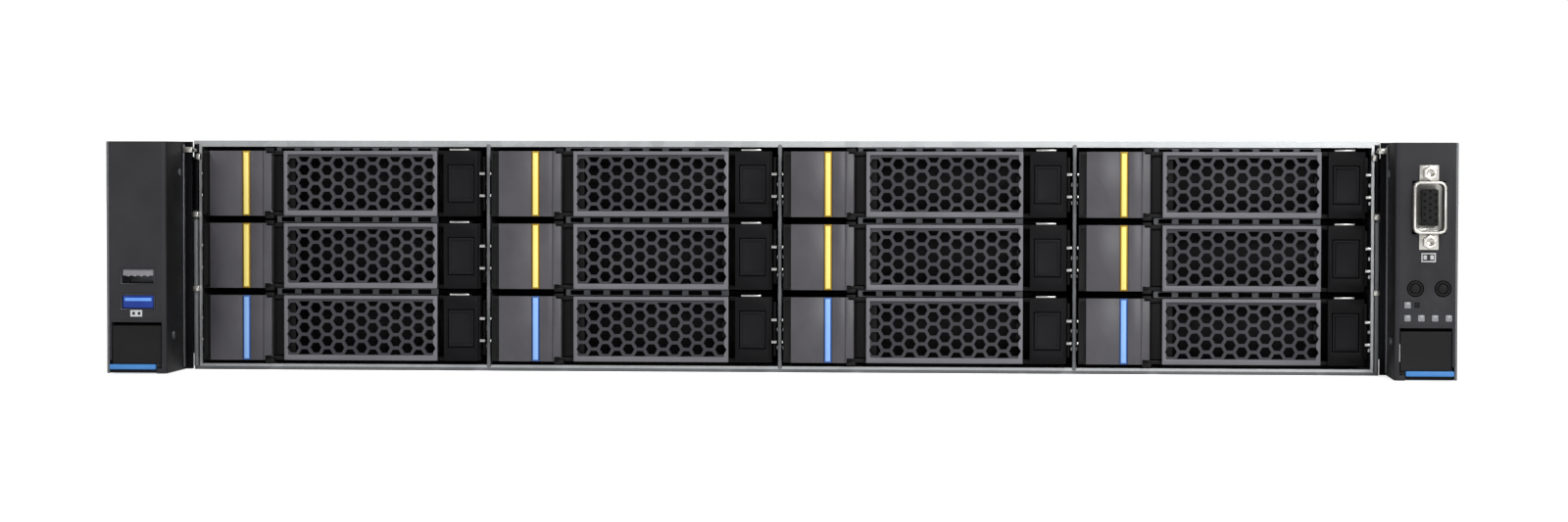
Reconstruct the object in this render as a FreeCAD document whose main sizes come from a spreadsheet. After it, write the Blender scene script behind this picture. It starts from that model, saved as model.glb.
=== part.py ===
import FreeCAD, Part
import math
import os
import re
import Sketcher

# A 2U rack server with twelve 3.5 inch drive carriers at its front.
# Millimetres. X runs along the width, Y from the front (-) to the rear (+), Z up.
# The origin is the middle of the overall box in X and Y, and its lowest face in Z.

document = FreeCAD.newDocument("RackServer")

# ---------------------------------------------------------------- driving sizes

SIZES = {
    # Whole server: the rack fixes the span over the ears and the height of two units.
    "rack_span": 482.6,
    "side_room": 24.3,
    "chassis_tall": 84.6,
    "chassis_deep": 735.0,
    "sheet": 1.2,
    "slide_gap": 0.3,
    # Drive bays: rows are counted from one to the next, columns share the width.
    "cage_room": 2.4,
    "row_pitch": 26.6,
    "cage_sheet": 1.0,
    "cage_deep": 181.0,
    "cage_set_back": 3.5,
    "guide_out": 0.7,
    "guide_tall": 1.2,
    "guide_low": 6.0,
    "runner_tall": 4.8,
    # Carrier front: places are counted from the middle of the divider on the left,
    # and those that end in "back" from the middle of the divider on the right.
    "face_tall": 23.9,
    "face_left": 1.5,
    "rim_right": 4.3,
    "rim_step": 0.6,
    "stripe_left": 16.2,
    "stripe_wide": 3.2,
    "stripe_deep": 0.6,
    "block_right": 27.2,
    "arm_left": 32.6,
    "grille_left": 31.7,
    "grille_back": 18.6,
    "panel_back": 16.1,
    "face_back": 3.5,
    "plate_thick": 2.0,
    "frame_deep": 20.0,
    "frame_wall": 1.4,
    "seat_gap": 0.2,
    "lug_wide": 3.5,
    "lug_tall": 1.0,
    # Drive and its tray.
    "drive_room": 5.7,
    "drive_long": 147.0,
    "drive_tall": 26.1,
    "drive_at": 27.0,
    "drive_gap": 0.15,
    "drive_corner": 6.0,
    "lid_step": 1.2,
    "lid_short": 14.0,
    "plug_left": 38.0,
    "plug_right": 8.0,
    "plug_tall": 7.0,
    "plug_deep": 6.0,
    "tray_sheet": 1.2,
    "tray_tall": 20.0,
    "tray_front": 6.0,
    "strip_tall": 4.0,
    # Carrier lever: a honeycomb grille that swings on a pin behind the colour block.
    "hinge_across": 26.2,
    "hinge_behind": 4.8,
    "hub_radius": 2.0,
    "pin_radius": 1.0,
    "pin_gap": 0.15,
    "pin_fit": 0.05,
    "lever_front": 0.4,
    "lever_thick": 2.5,
    "lever_border": 2.9,
    "mesh_sink": 0.8,
    "cell_wall": 1.3,
    "mesh_margin": 3.3,
    "mesh_ends": 15.0,
    "arm_thick": 2.4,
    "cam_tip": 1.6,
    "cam_thick": 3.0,
    "cam_tall": 6.0,
    "cam_sweep": 18.6,
    "nose_deep": 4.6,
    "nose_wide": 2.5,
    "nose_tall": 6.0,
    # Release button in the right end of the carrier face.
    "button_margin": 1.4,
    "button_rise": 4.9,
    "button_face": 0.3,
    "button_thick": 2.5,
    "button_travel": 1.8,
    "stem_deep": 9.0,
    "stem_wide": 5.0,
    "stem_tall": 6.0,
    "dish_margin": 1.5,
    "dish_low": 2.2,
    "dish_deep": 0.5,
    "guide_short": 1.2,
    # Ears.
    "ear_reach": 30.0,
    "ear_wall": 1.8,
    "ear_clear": 0.4,
    "ear_face": 22.0,
    "flange_thick": 2.0,
    "flange_hole_margin": 8.75,
    "flange_hole_rise": 76.2,
    "flange_hole": 6.8,
    "bracket_long": 70.0,
    "latch_low": 3.4,
    "latch_high": 18.6,
    "latch_thick": 2.4,
    "hook_in": 4.0,
    "hook_wide": 5.0,
    "latch_drop": 2.6,
    "latch_barrel": 4.4,
    "latch_pin": 2.0,
    "tooth_deep": 3.0,
    "lip_tall": 1.8,
    "lip_out": 1.0,
    "lip_margin": 1.2,
    "ear_corner": 1.6,
    "bracket_margin": 6.0,
    # What the ears carry: places are counted out from the ear's inner face.
    "usb_across": 10.5,
    "usb_up": 26.2,
    "usb_pitch": 9.2,
    "usb_wide": 12.6,
    "usb_tall": 5.8,
    "usb_deep": 14.0,
    "usb_wall": 0.4,
    "usb_set": 0.1,
    "tongue_thick": 1.8,
    "tongue_gap": 0.5,
    "ear_button": 5.3,
    "ear_button_long": 7.0,
    "ear_button_up": 32.8,
    "power_across": 7.2,
    "id_across": 16.8,
    "lens_wide": 2.4,
    "lens_deep": 6.0,
    "lens_across": 4.5,
    "lens_pitch": 4.8,
    "lens_up": 22.4,
    "lens_rise": 4.6,
    "video_across": 11.7,
    "video_up": 61.4,
    "video_wide": 11.6,
    "video_tall": 18.6,
    "video_bevel": 2.0,
    "video_wall": 0.8,
    "video_tail": 6.0,
    "video_reach": 4.6,
    "post_reach": 5.0,
    "post_flats": 4.6,
    "post_step": 12.1,
    # Fans.
    "fan_at": 196.0,
    "fan_size": 80.0,
    "fan_deep": 38.0,
    "fan_bore": 76.0,
    "fan_hub": 36.0,
    "fan_tip_gap": 1.0,
    "fan_side_room": 34.0,
    "fan_floor": 1.0,
    "fan_wall": 2.0,
    "fan_shaft": 4.0,
    "blade_thick": 1.6,
    "blade_pitch": 40.0,
    "blade_camber": 2.6,
    "blade_chord": 22.0,
    # Boards.
    "board_at": 250.0,
    "board_side_gap": 3.8,
    "board_psu_gap": 4.4,
    "board_rise": 6.0,
    "board_thick": 2.0,
    "standoff_flats": 6.0,
    "backplane_thick": 2.4,
    "socket_at": 335.0,
    "dimm_tall": 31.0,
    "dimm_long": 133.0,
    "dimm_thick": 1.4,
    "slot_first": 44.0,
    "bank_margin": 9.0,
    "slot_wide": 6.0,
    "slot_long": 140.0,
    "slot_tall": 5.0,
    "socket_wide": 76.0,
    "socket_long": 100.0,
    "socket_tall": 6.0,
    # Heatsinks and the air duct above them.
    "sink_wide": 78.0,
    "sink_long": 108.0,
    "sink_base": 6.0,
    "sink_tall": 52.0,
    "fin_pitch": 6.0,
    "fin_thick": 1.0,
    "duct_long": 175.0,
    "duct_top": 72.0,
    "duct_wall": 1.6,
    # Power supplies.
    "psu_wide": 73.5,
    "psu_tall": 40.0,
    "psu_long": 195.0,
    "psu_pitch": 40.3,
    "psu_side_gap": 2.9,
    "psu_low": 2.4,
    "handle_reach": 27.0,
    "handle_bar": 4.0,
    "bail_left": 33.5,
    "bail_right": 70.0,
    "inlet_left": 6.0,
    "inlet_wide": 24.0,
    "inlet_low": 10.0,
    "inlet_tall": 16.5,
    "inlet_deep": 18.0,
    "inlet_pin": 2.0,
    "blower_across": 52.0,
    "blower_wide": 34.0,
    "blower_deep": 22.0,
    "blower_ring": 20.0,
    "spoke_wide": 2.0,
    "grille_set": 0.5,
    "squeeze_low": 8.0,
    "squeeze_across": 2.5,
    "squeeze_behind": 1.8,
    "squeeze_barrel": 2.4,
    # Rear panel.
    "riser_low": 24.0,
    "riser_side_gap": 6.8,
    "riser_between": 5.0,
    "riser_short": 0.4,
    "riser_margin": 2.0,
    "riser_long": 190.0,
    "slot_pitch": 19.6,
    "card_slot_tall": 12.5,
    "card_slot_low": 3.0,
    "card_slot_left": 12.0,
    "card_slot_right": 8.0,
    "slot_cover_lap": 1.0,
    "slot_cover_thick": 1.0,
    "riser_board_at": 6.0,
    "riser_board_end": 40.0,
    "riser_board_start": 10.0,
    "vent_wide": 6.0,
    "vent_side_gap": 8.0,
    "vent_last_gap": 9.4,
    "vent_margin": 8.0,
    "vent_count": 9.0,
    "port_deep": 18.0,
    "port_back": 4.0,
    "recess_deep": 3.0,
    "jack_wide": 11.8,
    "jack_low": 2.0,
    "jack_tall": 8.4,
    # Top cover.
    "cover_split": 190.0,
    "lip_sheet": 1.0,
    "lip_down": 8.0,
    "lip_set": 4.0,
    "pan_wide": 56.0,
    "pan_long": 120.0,
    "pan_at": 405.0,
    "pan_deep": 8.0,
    "grip_gap": 1.0,
    "grip_axis_in": 10.0,
    "grip_axis_up": 3.2,
    "grip_thick": 4.0,
    "grip_end_tall": 5.5,
    "grip_end_long": 8.0,
    "grip_slope": 6.0,
    "grip_barrel": 5.0,
    "grip_pin": 2.0,
    "grip_frame": 9.0,
    "grip_window_from": 14.0,
    "grip_window_to": 20.0,
    "grip_end_gap": 3.0,
    # Studs for the slide rails.
    "stud_neck": 6.4,
    "stud_head": 9.6,
    "stud_out": 3.8,
    "stud_first": 100.0,
    "stud_pitch": 250.0,
    "stud_rise": 43.2,
}

# Places that follow from the sizes above, written as formulas.
PLACES = {
    "chassis_wide": "rack_span - 2 * side_room",
    "ear_inner": "ear_outer - ear_face",
    "flange_hole_span": "rack_span - 2 * flange_hole_margin",
    "bay_pitch": "(chassis_wide - 2 * cage_room) / 4",
    "drive_wide": "bay_pitch - drive_room",
    "grille_right": "bay_pitch - grille_back",
    "panel_left": "bay_pitch - panel_back",
    "panel_right": "bay_pitch - face_back",
    "face_y": "(post_reach + ear_reach - chassis_deep - handle_reach) / 2",
    "rear_y": "face_y + chassis_deep",
    "row_first": "(chassis_tall - 3 * row_pitch) / 2",
    "wall_in": "chassis_wide / 2 - sheet",
    "cage_half": "2 * bay_pitch + cage_sheet / 2",
    "roof_z": "chassis_tall - sheet",
    "face_low": "(row_pitch - face_tall) / 2",
    "face_high": "face_low + face_tall",
    "face_mid": "row_pitch / 2",
    "bay_mid": "bay_pitch / 2",
    "tray_in": "drive_wide / 2 + drive_gap",
    "tray_out": "tray_in + tray_sheet",
    "frame_half": "tray_in - seat_gap",
    "guide_high": "guide_low + guide_tall + 2 * slide_gap + runner_tall",
    "runner_low": "guide_low + guide_tall + slide_gap",
    "lever_back": "lever_front + lever_thick",
    "frame_front": "lever_back + slide_gap",
    "hub_low": "face_low + frame_wall + slide_gap",
    "hub_high": "face_high - frame_wall - slide_gap",
    "cell_flats": "min((grille_right - grille_left - mesh_ends) / 7; "
                  "(face_tall - 2 * cell_wall - mesh_margin) / 3)",
    "cell_corner": "cell_flats / sqrt(3)",
    "cell_across": "(cell_flats + cell_wall) * sqrt(3) / 2",
    "cell_up": "cell_flats + cell_wall",
    "mesh_mid": "(grille_left + grille_right) / 2",
    "ear_front": "face_y - ear_reach",
    "ear_outer": "rack_span / 2",
    "ear_top": "chassis_tall - ear_clear",
    "latch_axis_y": "ear_front + latch_thick + latch_drop",
    "fan_pitch": "(chassis_wide - fan_side_room) / 4",
    "fan_y": "face_y + fan_at",
    "fan_mid_z": "sheet + fan_floor + fan_size / 2",
    "psu_left": "wall_in - psu_wide - psu_side_gap",
    "board_left": "wall_in - board_side_gap",
    "board_right": "psu_left - board_psu_gap",
    "board_y": "face_y + board_at",
    "board_low": "sheet + board_rise",
    "board_top": "board_low + board_thick",
    "board_rear": "rear_y - sheet - 1",
    "socket_y": "face_y + socket_at",
    "socket_x": "(board_right - board_left) / 2",
    "socket_pitch": "(board_right + board_left) / 2",
    "dimm_pitch": "(socket_pitch / 2 - slot_first - bank_margin) / 4",
    "psu_y": "rear_y - psu_long",
    "cover_y": "face_y + cover_split",
    "pan_y": "face_y + pan_at",
    "pan_floor": "chassis_tall - pan_deep",
    "riser_top": "roof_z - slide_gap",
    "riser_wide": "(psu_left + wall_in) / 3 - riser_short",
    "riser_left": "riser_side_gap - wall_in",
    "riser_next": "riser_left + riser_wide + riser_between",
    "vent_left": "riser_next + riser_wide + vent_side_gap",
    "vent_pitch": "(psu_left - vent_left - vent_last_gap) / vent_count",
    "grip_y": "pan_y + grip_axis_in",
    "grip_z": "pan_floor + grip_axis_up",
}

sizes = document.addObject("Spreadsheet::Sheet", "Sizes")
places = document.addObject("Spreadsheet::Sheet", "Places")


def spell(text):
    """Write an expression out in full, with the sheet that holds each bare name."""

    def with_sheet(match):
        word = match.group(0)
        if word in SIZES:
            return "Sizes." + word
        if word in PLACES:
            return "Places." + word
        return word

    return re.sub(r"[a-z_]+", with_sheet, str(text))


def fill(sheet, cells):
    for row, (name, content) in enumerate(cells.items(), start=1):
        sheet.set(f"A{row}", name)
        sheet.set(f"B{row}", content)
        sheet.setAlias(f"B{row}", name)


fill(sizes, {name: str(size) for name, size in SIZES.items()})
fill(places, {name: "=" + spell(formula) for name, formula in PLACES.items()})
document.recompute()


def value(text):
    """The number that an expression stands for now."""
    return float(sizes.evalExpression(spell(text)))


# ---------------------------------------------------------------- sketch features

PLANE_ACROSS = {"x": "YZ_Plane", "y": "XZ_Plane", "z": "XY_Plane"}
AXIS_ALONG = {"x": "X_Axis", "y": "Y_Axis", "z": "Z_Axis"}


def new_body(name):
    return document.addObject("PartDesign::Body", name)


def origin_item(body, role):
    return next(item for item in body.Origin.OriginFeatures if item.Role == role)


def rectangle(left, right, low, high):
    """A closed outline in the two axes that lie in the sketch's plane."""
    return [(left, low), (right, low), (right, high), (left, high)]


def centred(across, up, wide, tall):
    """A rectangle given by its middle and its two sizes."""
    return rectangle(f"{across} - ({wide}) / 2", f"{across} + ({wide}) / 2",
                     f"{up} - ({tall}) / 2", f"{up} + ({tall}) / 2")


def ring(across, up, diameter):
    """A circle given by its middle and its diameter."""
    return {"middle": (across, up), "radius": f"({diameter}) / 2"}


def many_sided(across, up, flats, sides):
    """A regular outline given by its middle and the distance across its flats."""
    corners = []
    for number in range(sides):
        angle = math.pi * (2 * number + 1) / sides
        reach = 0.5 / math.cos(math.pi / sides)
        corners.append((f"{across} + ({flats}) * {reach * math.cos(angle):.9f}",
                        f"{up} + ({flats}) * {reach * math.sin(angle):.9f}"))
    return corners


def pin_down(sketch, geometry, point, place):
    """Fix one point of the sketch at a place given by two expressions."""
    for kind, text in zip(("DistanceX", "DistanceY"), place):
        index = sketch.addConstraint(
            Sketcher.Constraint(kind, -1, 1, geometry, point, value(text)))
        sketch.setExpression(f"Constraints[{index}]", spell(text))


def draw_polygon(sketch, corners):
    first = sketch.GeometryCount
    count = len(corners)
    dots = [FreeCAD.Vector(value(across), value(up), 0) for across, up in corners]
    for index in range(count):
        sketch.addGeometry(Part.LineSegment(dots[index], dots[(index + 1) % count]), False)
    for index in range(count):
        following = first + (index + 1) % count
        sketch.addConstraint(Sketcher.Constraint("Coincident", first + index, 2, following, 1))
    for index in range(count):
        pin_down(sketch, first + index, 1, corners[index])


def draw_ring(sketch, loop):
    middle = FreeCAD.Vector(value(loop["middle"][0]), value(loop["middle"][1]), 0)
    radius = value(loop["radius"])
    circle = sketch.addGeometry(Part.Circle(middle, FreeCAD.Vector(0, 0, 1), radius), False)
    pin_down(sketch, circle, 3, loop["middle"])
    index = sketch.addConstraint(Sketcher.Constraint("Radius", circle, radius))
    sketch.setExpression(f"Constraints[{index}]", spell(loop["radius"]))


def draw(body, axis, level, loops):
    """A sketch across the axis at a level, in the body's own origin planes."""
    sketch = body.newObject("Sketcher::SketchObject", "Outline")
    sketch.AttachmentSupport = [(origin_item(body, PLANE_ACROSS[axis]), "")]
    sketch.MapMode = "FlatFace"
    away = "-1 * " if axis == "y" else ""
    sketch.setExpression("AttachmentOffset.Base.z", spell(f"{away}({level})"))
    for loop in loops:
        if isinstance(loop, dict):
            draw_ring(sketch, loop)
        else:
            draw_polygon(sketch, loop)
    return sketch


def pad(body, name, axis, low, high, *loops):
    """Add material between two levels along the axis. The XZ plane faces -Y."""
    level = high if axis == "y" else low
    sketch = draw(body, axis, level, loops)
    feature = body.newObject("PartDesign::Pad", name)
    feature.Profile = sketch
    feature.setExpression("Length", spell(f"({high}) - ({low})"))
    return feature


def pocket(body, name, axis, low, high, *loops):
    """Take material away between two levels along the axis."""
    level = low if axis == "y" else high
    sketch = draw(body, axis, level, loops)
    feature = body.newObject("PartDesign::Pocket", name)
    feature.Profile = sketch
    feature.setExpression("Length", spell(f"({high}) - ({low})"))
    return feature


def spread(body, name, feature, axis, pitch, count):
    """Repeat a feature along an axis, with its first copy where it is."""
    row = body.newObject("PartDesign::LinearPattern", name)
    row.Originals = [feature]
    row.Direction = (origin_item(body, AXIS_ALONG[axis]), [""])
    row.setExpression("Length", spell(f"({pitch}) * ({count} - 1)"))
    row.setExpression("Occurrences", spell(count))
    body.Tip = row
    return row


def soften(body, name, radius, wanted):
    """Round the straight edges of the body's last feature that the test picks."""
    document.recompute()
    base = body.Tip
    chosen = []
    for number, edge in enumerate(base.Shape.Edges, start=1):
        if wanted(edge):
            chosen.append(f"Edge{number}")
    feature = body.newObject("PartDesign::Fillet", name)
    feature.Base = (base, chosen)
    feature.setExpression("Radius", spell(radius))
    return feature


# ---------------------------------------------------------------- plain solids


def block(name, left, right, front, rear, low, high):
    """A box between three pairs of places."""
    solid = document.addObject("Part::Box", name)
    solid.setExpression("Length", spell(f"({right}) - ({left})"))
    solid.setExpression("Width", spell(f"({rear}) - ({front})"))
    solid.setExpression("Height", spell(f"({high}) - ({low})"))
    solid.setExpression("Placement.Base.x", spell(left))
    solid.setExpression("Placement.Base.y", spell(front))
    solid.setExpression("Placement.Base.z", spell(low))
    return solid


def rod(name, axis, middle, diameter, low, high):
    """A round bar along an axis. Its middle is given in the other two axes."""
    solid = document.addObject("Part::Cylinder", name)
    solid.setExpression("Radius", spell(f"({diameter}) / 2"))
    solid.setExpression("Height", spell(f"({high}) - ({low})"))
    start = {"x": (low, *middle), "y": (middle[0], low, middle[1]), "z": (*middle, low)}[axis]
    turn = {
        "x": FreeCAD.Rotation(FreeCAD.Vector(0, 1, 0), 90),
        "y": FreeCAD.Rotation(FreeCAD.Vector(1, 0, 0), -90),
        "z": FreeCAD.Rotation(),
    }[axis]
    solid.Placement = FreeCAD.Placement(FreeCAD.Vector(), turn)
    for letter, place in zip("xyz", start):
        solid.setExpression(f"Placement.Base.{letter}", spell(place))
    return solid


def gather(label, pieces):
    """One named sub-part that holds several separate solids."""
    group = document.addObject("Part::Compound", label)
    group.Links = pieces
    group.Label = label
    return group


def fused(name, *solids):
    whole = document.addObject("Part::MultiFuse", name)
    whole.Shapes = list(solids)
    return whole


def place_at(item, across, along, up):
    """Bind an item's place to three expressions."""
    for letter, place in zip("xyz", (across, along, up)):
        item.setExpression(f"Placement.Base.{letter}", spell(place))


def copy_of(label, master, across, along, up):
    """A copy of a sub-part that was built in its own frame, set down at a place."""
    item = document.addObject("Part::Feature", label)
    item.Label = label
    shape = master.Shape.copy()
    shape.Placement = FreeCAD.Placement()
    item.Shape = shape
    place_at(item, across, along, up)
    return item


NODES = []


def keep(item, label=None):
    """List an item as a sub-part of the server."""
    if label:
        item.Label = label
    NODES.append(item)
    return item


# ---------------------------------------------------------------- drive carrier
# Built in the bay's frame: X from the middle of the left divider, Y from the
# carrier's face inwards, Z from the floor of the row.


def build_bezel():
    """The moulded front of a carrier: colour block, box frame and button panel."""
    body = new_body("Bezel")
    left = "bay_mid - frame_half"
    right = "bay_mid + frame_half"
    pad(body, "BoxFrame", "y", "plate_thick", "frame_deep",
        rectangle(left, right, "face_low", "face_high"),
        rectangle(f"{left} + frame_wall", f"{right} - frame_wall",
                  "face_low + frame_wall", "face_high - frame_wall"))
    pad(body, "ColourBlock", "y", "0", "plate_thick",
        rectangle("face_left", "block_right", "face_low", "face_high"))
    pad(body, "ButtonPanel", "y", "0", "plate_thick",
        rectangle("panel_left", "panel_right", "face_low", "face_high"))
    pad(body, "StemGuide", "y", "plate_thick + button_travel + button_thick",
        "stem_deep - guide_short",
        rectangle("panel_left", f"{right} - frame_wall / 2",
                  "face_low + frame_wall / 2", "face_high - frame_wall / 2"))
    pad(body, "PinLugs", "y", "frame_front", "hinge_behind + hub_radius",
        centred("hinge_across", "face_high + lug_tall / 2", "lug_wide", "lug_tall"),
        centred("hinge_across", "face_low - lug_tall / 2", "lug_wide", "lug_tall"))
    pocket(body, "LeverSeat", "y", "0", "frame_front",
           rectangle("block_right", "panel_left", "face_low - 2", "face_high + 2"))
    pocket(body, "ButtonWindow", "y", "0", "plate_thick",
           rectangle("panel_left + button_margin", "panel_right - button_margin",
                     "face_low + button_rise", "face_high - button_rise"))
    pocket(body, "StemHole", "y", "0", "stem_deep",
           centred("(panel_left + panel_right) / 2", "face_mid",
                   "stem_wide + 2 * slide_gap", "stem_tall + 2 * slide_gap"))
    pocket(body, "Rim", "y", "0", "rim_step",
           rectangle("face_left - 1", "rim_right", "face_low - 1", "face_high + 1"))
    pocket(body, "StripeSeat", "y", "0", "stripe_deep",
           rectangle("stripe_left", "stripe_left + stripe_wide", "face_low - 1", "face_high + 1"))
    pocket(body, "CamWindow", "y", "plate_thick", "cam_sweep",
           rectangle(f"{left} - 1", f"{left} + frame_wall + 1",
                     "face_mid - cam_tall / 2 - slide_gap", "face_mid + cam_tall / 2 + slide_gap"))
    pocket(body, "PinHoles", "z", "face_low - lug_tall - 1", "face_high + lug_tall + 1",
           many_sided("hinge_across", "hinge_behind", "2 * pin_radius + 2 * pin_gap", 8))
    return body


def build_tray():
    """The bent steel tray: two side rails with runners, and a cross strip at the rear."""
    body = new_body("Tray")
    rear = "drive_at + drive_long + seat_gap"
    low = "face_mid - tray_tall / 2"
    high = "face_mid + tray_tall / 2"
    for side in ("-", "+"):
        inner = f"bay_mid {side} tray_in"
        outer = f"bay_mid {side} tray_out"
        edge = f"bay_mid {side} (tray_out + guide_out)"
        strip = (outer, inner) if side == "-" else (inner, outer)
        runner = (edge, outer) if side == "-" else (outer, edge)
        name = "Left" if side == "-" else "Right"
        pad(body, name + "Rail", "y", "tray_front", f"{rear} + tray_sheet",
            rectangle(*strip, low, high))
        if side == "-":
            pad(body, "CrossStrip", "y", rear, f"{rear} + tray_sheet",
                rectangle("bay_mid - tray_in - tray_sheet / 2", "bay_mid + tray_in + tray_sheet / 2",
                          f"{high} - strip_tall", high))
        pad(body, name + "Runner", "y", "frame_deep", "drive_at + drive_long",
            rectangle(*runner, "runner_low", "runner_low + runner_tall"))
    pocket(body, "CamWindow", "y", "tray_front - 1", "cam_sweep",
           rectangle("bay_mid - tray_out - 1", "bay_mid - tray_in + 1",
                     "face_mid - cam_tall / 2 - slide_gap", "face_mid + cam_tall / 2 + slide_gap"))
    return body


def build_drive():
    """A 3.5 inch drive: cast base, raised lid and the connector notch at its rear."""
    body = new_body("Drive")
    low = "face_mid - drive_tall / 2"
    high = "face_mid + drive_tall / 2"
    rear = "drive_at + drive_long"
    half = "drive_wide / 2"
    corner = "drive_corner"
    pad(body, "Casting", "z", low, high,
        [(f"bay_mid - {half} + {corner}", "drive_at"), (f"bay_mid + {half} - {corner}", "drive_at"),
         (f"bay_mid + {half}", f"drive_at + {corner}"), (f"bay_mid + {half}", rear),
         (f"bay_mid - {half}", rear), (f"bay_mid - {half}", f"drive_at + {corner}")])
    pocket(body, "LidStep", "z", f"{high} - lid_step", f"{high} + 1",
           rectangle(f"bay_mid - {half} - 1", f"bay_mid + {half} + 1", f"{rear} - lid_short", f"{rear} + 1"))
    pocket(body, "PlugNotch", "y", f"{rear} - plug_deep", f"{rear} + 1",
           rectangle("bay_mid - plug_left", "bay_mid + plug_right", f"{low} - 1", f"{low} + plug_tall"))
    return body


def build_carrier():
    stripe = block("Stripe", "stripe_left", "stripe_left + stripe_wide", "0", "stripe_deep",
                   "face_low", "face_high")
    return gather("carrier_01", [build_bezel(), build_tray(), build_drive(), stripe])


def build_lever_arm():
    """Grille, arm, hub and cam in one moulding, turning on the pin."""
    body = new_body("LeverArm")
    arm_rear = "hinge_behind - pin_radius + arm_thick"
    pad(body, "Arm", "z", "hub_low", "hub_high",
        [("hinge_across", "hinge_behind - pin_radius"), ("arm_left", "hinge_behind - pin_radius"),
         ("arm_left", "lever_back"), ("arm_left + cam_thick", "lever_back"),
         ("arm_left + cam_thick", arm_rear), ("hinge_across", arm_rear)])
    pad(body, "Hub", "z", "hub_low", "hub_high",
        many_sided("hinge_across", "hinge_behind", "2 * hub_radius", 8))
    pad(body, "Cam", "z", "face_mid - cam_tall / 2", "face_mid + cam_tall / 2",
        rectangle("cam_tip", "hinge_across - pin_radius",
                  "hinge_behind - cam_thick / 2", "hinge_behind + cam_thick / 2"))
    pad(body, "Plate", "y", "lever_front", "lever_back",
        rectangle("grille_left", "grille_right", "face_low", "face_high"))
    pad(body, "Nose", "y", "lever_back", "lever_back + nose_deep",
        rectangle("grille_right - nose_wide", "grille_right",
                  "face_mid - nose_tall / 2", "face_mid + nose_tall / 2"))
    pocket(body, "MeshSink", "y", "0", "lever_front + mesh_sink",
           rectangle("grille_left + lever_border", "grille_right - lever_border / 2",
                     "face_low + lever_border / 2", "face_high - lever_border / 2"))
    columns = (("ShortColumn", "-3", (-0.5, 0.5), 4), ("LongColumn", "-2", (-1, 0, 1), 3))
    for name, shift, rows, count in columns:
        middle = f"mesh_mid + lever_border / 4 + ({shift}) * cell_across"
        cells = [hexagon(middle, f"face_mid + ({row}) * cell_up") for row in rows]
        column = pocket(body, name, "y", "lever_front", "lever_back + 0.2", *cells)
        spread(body, name + "s", column, "x", "2 * cell_across", count)
    pocket(body, "PinHole", "z", "hub_low - 1", "hub_high + 1",
           many_sided("hinge_across", "hinge_behind", "2 * pin_radius + 2 * pin_fit", 8))
    return body


def hexagon(across, up):
    """One honeycomb cell with two flats that lie level."""
    corners = []
    for side_across, side_up in ((2, 0), (1, 1), (-1, 1), (-2, 0), (-1, -1), (1, -1)):
        corners.append((f"{across} + ({side_across}) * cell_corner / 2",
                        f"{up} + ({side_up}) * cell_flats / 2"))
    return corners


def build_lever():
    pin = rod("LeverPin", "z", ("hinge_across", "hinge_behind"), "2 * pin_radius",
              "face_low - lug_tall + 0.2", "face_high + lug_tall - 0.2")
    return gather("lever_01", [build_lever_arm(), pin])


def build_button():
    """The release button: a cap in the panel's window on a square stem."""
    body = new_body("Button")
    back = "button_face + button_thick"
    middle = "(panel_left + panel_right) / 2"
    pad(body, "Cap", "y", "button_face", back,
        rectangle("panel_left + button_margin + slide_gap", "panel_right - button_margin - slide_gap",
                  "face_low + button_rise + slide_gap", "face_high - button_rise - slide_gap"))
    pad(body, "Stem", "y", back, "stem_deep",
        centred(middle, "face_mid", "stem_wide", "stem_tall"))
    pocket(body, "FingerDish", "y", "0", "button_face + dish_deep",
           rectangle("panel_left + button_margin + dish_margin",
                     "panel_right - button_margin - dish_margin",
                     "face_low + button_rise + dish_low", "face_high - button_rise - dish_margin"))
    return body


def column_x(column):
    return f"({column} - 2) * bay_pitch"


def row_z(row):
    return f"row_first + ({row}) * row_pitch"


def build_bays():
    """Twelve carriers, levers and buttons, four across and three up."""
    masters = {"carrier": build_carrier(), "lever": build_lever(), "button": build_button()}
    document.recompute()
    for kind, master in masters.items():
        for bay in range(12):
            place = (column_x(bay % 4), "face_y", row_z(bay // 4))
            label = f"{kind}_{bay + 1:02d}"
            if bay == 0:
                place_at(master, *place)
                keep(master, label)
            else:
                keep(copy_of(label, master, *place))


build_bays()

# ---------------------------------------------------------------- drive cage


def build_drive_cage():
    """The sheet steel cage with its dividers, and the fixed front part of the cover."""
    body = new_body("Cage")
    front = "face_y + cage_set_back"
    rear = "face_y + cage_deep"
    low = "sheet + cage_sheet"
    high = "roof_z - cage_sheet"
    columns = []
    for column in range(4):
        columns.append(rectangle(f"({column} - 2) * bay_pitch + cage_sheet / 2",
                                 f"({column} - 1) * bay_pitch - cage_sheet / 2", low, high))
    pad(body, "Walls", "y", front, rear,
        rectangle("-cage_half", "cage_half", "sheet", "roof_z"), *columns)
    nibs = []
    wall_left = "-2 * bay_pitch + cage_sheet / 2"
    wall_right = "-1 * bay_pitch - cage_sheet / 2"
    for row in range(3):
        for level in ("guide_low", "guide_high"):
            bottom = f"row_first + {row} * row_pitch + {level}"
            nibs.append(rectangle(wall_left, f"{wall_left} + guide_out", bottom, f"{bottom} + guide_tall"))
            nibs.append(rectangle(f"{wall_right} - guide_out", wall_right, bottom, f"{bottom} + guide_tall"))
    guides = pad(body, "Guides", "y", "face_y + tray_front", f"{rear} - 10", *nibs)
    spread(body, "GuideSets", guides, "x", "bay_pitch", 4)
    cover = block("FrontCover", "-chassis_wide / 2", "chassis_wide / 2", front, "cover_y - slide_gap",
                  "roof_z", "chassis_tall")
    return gather("drive_cage", [body, cover])


keep(build_drive_cage())

# ---------------------------------------------------------------- chassis base

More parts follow.
